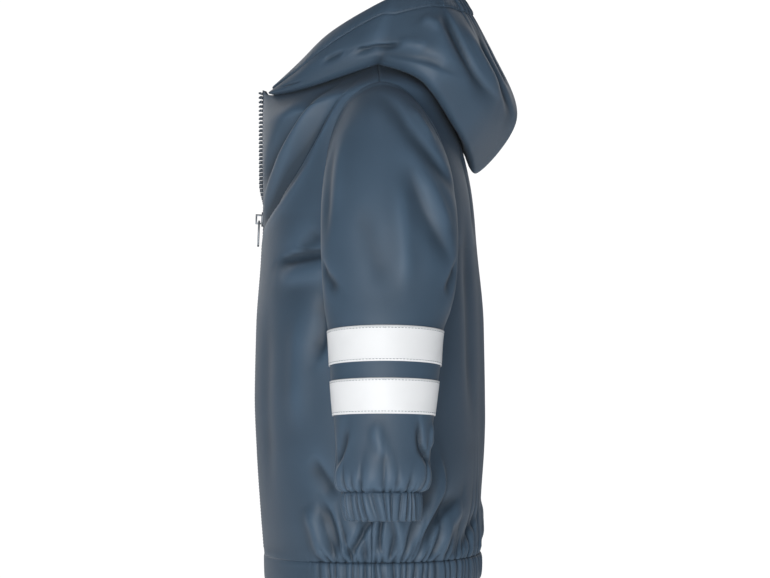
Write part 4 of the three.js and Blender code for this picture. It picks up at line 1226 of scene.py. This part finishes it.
def hood_half(side):
    columns, rows = 140, 112

    def lay(i, j):
        share = i / columns if side > 0 else 1 - i / columns
        turn = HOOD_FRONT_TURN + (180 + HALVES_LAP - HOOD_FRONT_TURN) * share
        near = np.minimum(turn, 360 - turn)
        seam = np.interp(near, rim_degrees, tucked_rows)
        fold_row = int(rows * UNDER_SHARE)
        under = HOOD_FOLD * np.minimum(j / fold_row, 1)
        over = (seam - HOOD_FOLD) * np.maximum((j - fold_row) / (rows - fold_row), 0)
        row = under + over
        below = (rows - j) / (rows - fold_row) * np.interp(near, rim_degrees, rib_rises)
        round_it = turn if side > 0 else 360 - turn
        gathers = crown_puffs(round_it) * CROWN_PUFF * np.exp(-((below / CROWN_PUFF_REACH) ** 2))
        lift = hood_lift(round_it, row) + gathers
        lift = lift + seam_dip(below, 1.6, 4.5) + seam_dip((180 - near) * HOOD_TURN_MM, 0.9)
        place = raised(hood_base(turn, row), lift, side)
        return flip_x(side, place), np.stack([turn * HOOD_TURN_MM, row * HOOD_ROW_MM], axis=-1)

    piece = cloth_sheet(f"shell_hood_{WORDS[side]}", columns, rows, lay)
    return finish_piece(piece, [f"hood_{WORDS[side]}"], "shell_cloth", SHELL, REVERSE)


hoods = [hood_half(side) for side in (1, -1)]


# %% Hood casing
CASING_PUFF = 3


def casing_point(turn, share):
    seam = casing_seam(turn)
    row = seam + (HOOD_RIM - seam) * (0.02 + 0.98 * share)
    bulge = 0.9 * np.sin(math.pi * np.clip(share, 0, 1)) ** 0.6
    pucker = 0.25 * puffs(gather_share(turn), 90, 6) * np.exp(-((share / 0.3) ** 2))
    lift = hood_lift(turn, row) + 0.5 + bulge + pucker + CASING_PUFF * crown_puffs(turn, 2 * share)
    return raised(hood_base(turn, row), lift + seam_dip(share * 20, 0.5))


def hood_casing():
    columns, rows = 560, 14

    def lay(i, j):
        turn = HOOD_FRONT_TURN + (360 - 2 * HOOD_FRONT_TURN) * i / columns
        share = j / rows
        flat = np.stack([turn * HOOD_TURN_MM, share * CASING_DEPTH], axis=-1)
        return casing_point(turn, share), flat

    piece = cloth_sheet("casing_hood", columns, rows, lay, thick=1.8)
    return finish_piece(piece, ["hood_casing"], "shell_cloth", SHELL, REVERSE)


hood_edge = hood_casing()

# %% [markdown]
# ## Zip
#
# The zip has moulded teeth on a woven tape, 3.6 mm apart, open above the slider. Each tooth has a
# broad head and a narrow neck, so the two rows lock. One tooth is modelled, and a copy of it is
# bent onto the zip's line at every pitch. The tape is a narrow woven sheet behind the front's edge.

# %% Zip line
TEETH_TILT = 35
TEETH_PITCH = 3.6
TEETH_START = -443.2
ZIP_TOP = NECK_LEVEL - 2
zip_levels = np.linspace(HEM_BOTTOM + 1, ZIP_TOP, 400)
zip_heights = body_base(turn_at_x(ZIP_EDGE, zip_levels), zip_levels)[:, 2]


def level_at_z(z):
    return np.interp(z, zip_heights, zip_levels)


def zip_point(side, x, depth, level):
    x, depth, level = np.broadcast_arrays(x, depth, level)
    turn = side * turn_at_x(np.maximum(x, ZIP_EDGE), level)
    edge, normal = body(turn, level), body_normal(turn, level)
    centre = body(turn - side, level) - edge
    centre = unit(centre - normal * np.sum(centre * normal, axis=-1, keepdims=True))
    lean = math.radians(TEETH_TILT) * smooth((edge[..., 2] - SLIDER_Z - 7) / 25)
    cos, sin = np.cos(lean)[..., None], np.sin(lean)[..., None]
    over = np.maximum(ZIP_EDGE - x, 0)[..., None]
    beyond = edge + (centre * cos + normal * sin) * over
    beyond = beyond + (centre * sin - normal * cos) * depth[..., None]
    return np.where(over > 0, beyond, edge - normal * depth[..., None])


# %% Zip tapes
TAPE_IN = 2.4
TAPE_OUT = 13.5
TAPE_DEPTH = 2.1


def zip_tape(side):
    columns, rows = 8, 230

    def lay(i, j):
        across = i / columns if side > 0 else 1 - i / columns
        x = TAPE_IN + (TAPE_OUT - TAPE_IN) * across
        level = HEM_BOTTOM + 1 + (ZIP_TOP - HEM_BOTTOM) * j / rows
        return zip_point(side, x, np.full(x.shape, TAPE_DEPTH), level), np.stack([x, level], axis=-1)

    piece = cloth_sheet(f"woven_tape_{WORDS[side]}", columns, rows, lay, thick=0.7)
    return finish_piece(piece, [f"zip_tape_{WORDS[side]}"], "zip_tape", TAPE, TAPE)


tapes = [zip_tape(side) for side in (1, -1)]


# %% Zip teeth
def mesh_arrays(piece):
    points = np.array([v.co for v in piece.data.vertices])
    faces = [list(p.vertices) for p in piece.data.polygons]
    return points, faces


def model_tooth():
    """A tooth in mm: x across the zip from its head, y into it, z up it"""
    bpy.ops.object.select_all(action="DESELECT")
    bpy.ops.mesh.primitive_cube_add(size=1)
    tooth = bpy.context.object
    bpy.ops.object.mode_set(mode="EDIT")
    bpy.ops.mesh.subdivide(number_cuts=2)
    bpy.ops.object.mode_set(mode="OBJECT")
    for vertex in tooth.data.vertices:
        along = vertex.co.x + 0.5
        height = 1.75 if along < 0.3 else 1.15 if along < 0.6 else 1.9
        vertex.co = (-1.1 + 4.6 * along, 1.45 + 2.7 * vertex.co.y, height * vertex.co.z)
    sharp = {"limit_method": "ANGLE", "angle_limit": math.radians(60)}
    apply_modifier(tooth, "BEVEL", width=0.25, segments=1, **sharp)
    points, faces = mesh_arrays(tooth)
    bpy.data.objects.remove(tooth)
    return points, faces


def joined_copies(name, copies, faces):
    """One mesh of many copies, each given by its points"""
    count = len(copies[0])
    shifted = [[v + k * count for v in face] for k in range(len(copies)) for face in faces]
    mesh = bpy.data.meshes.new(name)
    mesh.from_pydata(np.concatenate(copies) * MM, [], shifted)
    piece = bpy.data.objects.new(name, mesh)
    bpy.context.scene.collection.objects.link(piece)
    bpy.ops.object.select_all(action="DESELECT")
    piece.select_set(True)
    bpy.context.view_layer.objects.active = piece
    bpy.ops.object.mode_set(mode="EDIT")
    bpy.ops.mesh.select_all(action="SELECT")
    bpy.ops.mesh.normals_make_consistent(inside=False)
    bpy.ops.object.mode_set(mode="OBJECT")
    return piece


tooth_points, tooth_faces = model_tooth()


def teeth_row(side):
    start = TEETH_START + (0 if side > 0 else TEETH_PITCH / 2)
    heights = np.arange(start, zip_heights[-1] - 1, TEETH_PITCH)
    copies = [
        zip_point(side, tooth_points[:, 0], tooth_points[:, 1], level_at_z(z + tooth_points[:, 2]))
        for z in heights
        if abs(z - SLIDER_Z) > 6
    ]
    piece = joined_copies(f"teeth_{WORDS[side]}", copies, tooth_faces)
    bpy.ops.object.shade_smooth_by_angle(angle=math.radians(35))
    return finish_piece(piece, [f"zip_teeth_{WORDS[side]}"], "zip_teeth", TEETH)


teeth = [teeth_row(side) for side in (1, -1)]
print("teeth faces:", len(teeth[0].data.polygons))

# %% [markdown]
# ## Slider, pull tab and box
#
# These are hard pieces whose solids already have the right shape. A copy of each is merged and its
# edges are rounded, since cast metal has no sharp edge. The tab swings on the slider, so it rides
# on its own body.


# %% Zip metal
def rounded_copy(node_name, name, width):
    bpy.ops.object.select_all(action="DESELECT")
    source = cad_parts[node_name]
    piece = bpy.data.objects.new(name, source.data.copy())
    bpy.context.scene.collection.objects.link(piece)
    piece.select_set(True)
    merge_edges(piece, 0.001 * MM)
    bpy.ops.object.mode_set(mode="EDIT")
    bpy.ops.mesh.select_all(action="SELECT")
    bpy.ops.mesh.dissolve_limited(angle_limit=math.radians(1))
    bpy.ops.object.mode_set(mode="OBJECT")
    apply_modifier(
        piece, "BEVEL", width=width * MM, segments=2, limit_method="ANGLE", angle_limit=math.radians(40)
    )
    bpy.ops.object.shade_smooth_by_angle(angle=math.radians(35))
    return piece


for node_name, name, width, body_name in (
    ("zip_slider", "slider", 0.3, "coat"),
    ("zip_box", "zip_end_box", 0.5, "coat"),
    ("zip_pull_tab", "pull_tab", 0.3, "pull_tab"),
):
    piece = rounded_copy(node_name, name, width)
    finish_piece(piece, [node_name], "zip_metal", METAL, body_name=body_name)

# %% [markdown]
# ## Stitching
#
# Lines of small stitches hold the casings, the tapes and the bands. One stitch is modelled as a
# short thread with round ends. Copies of it are laid end to end along each seam line, turned to
# follow the line and to stand on the cloth there.


# %% Stitches
STITCH_PITCH = 2.9
STITCH_LONG = 2.1
STITCH_WIDE = 0.45


def model_stitch():
    """A stitch along x, standing on z = 0, in mm"""
    bpy.ops.object.select_all(action="DESELECT")
    bpy.ops.mesh.primitive_uv_sphere_add(segments=6, ring_count=5, radius=0.5)
    stitch = bpy.context.object
    bpy.ops.object.mode_set(mode="EDIT")
    bpy.ops.transform.rotate(value=math.pi / 2, orient_axis="Y", center_override=(0, 0, 0))
    bpy.ops.transform.resize(value=(STITCH_LONG, STITCH_WIDE, STITCH_WIDE), center_override=(0, 0, 0))
    bpy.ops.object.mode_set(mode="OBJECT")
    points, faces = mesh_arrays(stitch)
    bpy.data.objects.remove(stitch)
    return points, faces


stitch_points, stitch_faces = model_stitch()


def stitches_along(line, outward):
    """Copies of the stitch along a line of places, with the outward direction at each"""
    lengths = np.concatenate([[0], np.cumsum(np.linalg.norm(np.diff(line, axis=0), axis=-1))])
    places = np.arange(STITCH_PITCH / 2, lengths[-1], STITCH_PITCH)

    def at(values, where):
        return np.stack([np.interp(where, lengths, values[:, k]) for k in range(3)], axis=-1)

    middle, up = at(line, places), unit(at(outward, places))
    ahead = unit(at(line, places + 1) - at(line, places - 1))
    beside = unit(np.cross(up, ahead))
    x, y, z = stitch_points.T[:, None, :, None]
    copies = middle[:, None] + ahead[:, None] * x + beside[:, None] * y + up[:, None] * z
    return list(copies)


def stitching(name, lines):
    copies = [copy for line, outward in lines for copy in stitches_along(line, outward)]
    piece = joined_copies(name, copies, stitch_faces)
    bpy.ops.object.shade_smooth()
    print(name, "stitches:", len(copies))
    return finish_piece(piece, None, "shell_cloth", THREAD)


def body_line(turns, levels, lift):
    turns, levels = np.broadcast_arrays(np.asarray(turns, float), np.asarray(levels, float))
    outward = normal_of(body_base, turns, levels, 0.5, 1)
    return body_base(turns, levels) + outward * (body_lift(turns, levels) + lift)[..., None], outward


def sleeve_line(side, angles, rows, lift):
    form = SLEEVES[side]
    outward = normal_of(form.base, angles, rows, 1, 0.03)
    return flip_x(side, form.at(angles, rows, lift)), flip_x(side, outward)


def hood_line(turns, rows, lift):
    outward = normal_of(hood_base, turns, rows, 0.5, 0.02)
    return hood(turns, rows, lift), outward


# %% Stitch lines
ZIP_STITCH_IN = 4.5
BAND_STITCH_ROWS = (8.07, 8.93, 10.07, 10.93)
CUFF_STITCH_SHARE = 0.14
STITCH_LIFT = 0.05
fine_angles = np.linspace(0, 360, 721)
zip_run = np.linspace(HEM_SEAM + 4, NECK_LEVEL - 4, 300)
zip_side = turn_at_x(ZIP_EDGE + ZIP_STITCH_IN, zip_run)
zip_seams = [body_line(side * zip_side, zip_run, 2 * STITCH_LIFT) for side in (1, -1)]
stitching("stitches_zip", zip_seams)

band_seams = [
    sleeve_line(side, fine_angles, np.full(fine_angles.shape, row), BAND_LIFT + STITCH_LIFT)
    for side in (1, -1)
    for row in BAND_STITCH_ROWS
]
stitching("stitches_bands", band_seams)

cuff_row = CUFF_SEAM + (CUFF_END - CUFF_SEAM) * CUFF_STITCH_SHARE
cuff_height = cuff_lift(fine_angles, CUFF_STITCH_SHARE) + STITCH_LIFT
cuff_seams = [
    sleeve_line(side, fine_angles, np.full(fine_angles.shape, cuff_row), cuff_height) for side in (1, -1)
]
stitching("stitches_cuffs", cuff_seams)

casing_turns = np.linspace(HOOD_FRONT_TURN + 1, 359 - HOOD_FRONT_TURN, 1200)
casing_rows = casing_seam(casing_turns) + (HOOD_RIM - casing_seam(casing_turns)) * 0.1
casing_lift = 1 + CASING_PUFF * crown_puffs(casing_turns, 0.2)
stitching("stitches_hood", [hood_line(casing_turns, casing_rows, casing_lift)])
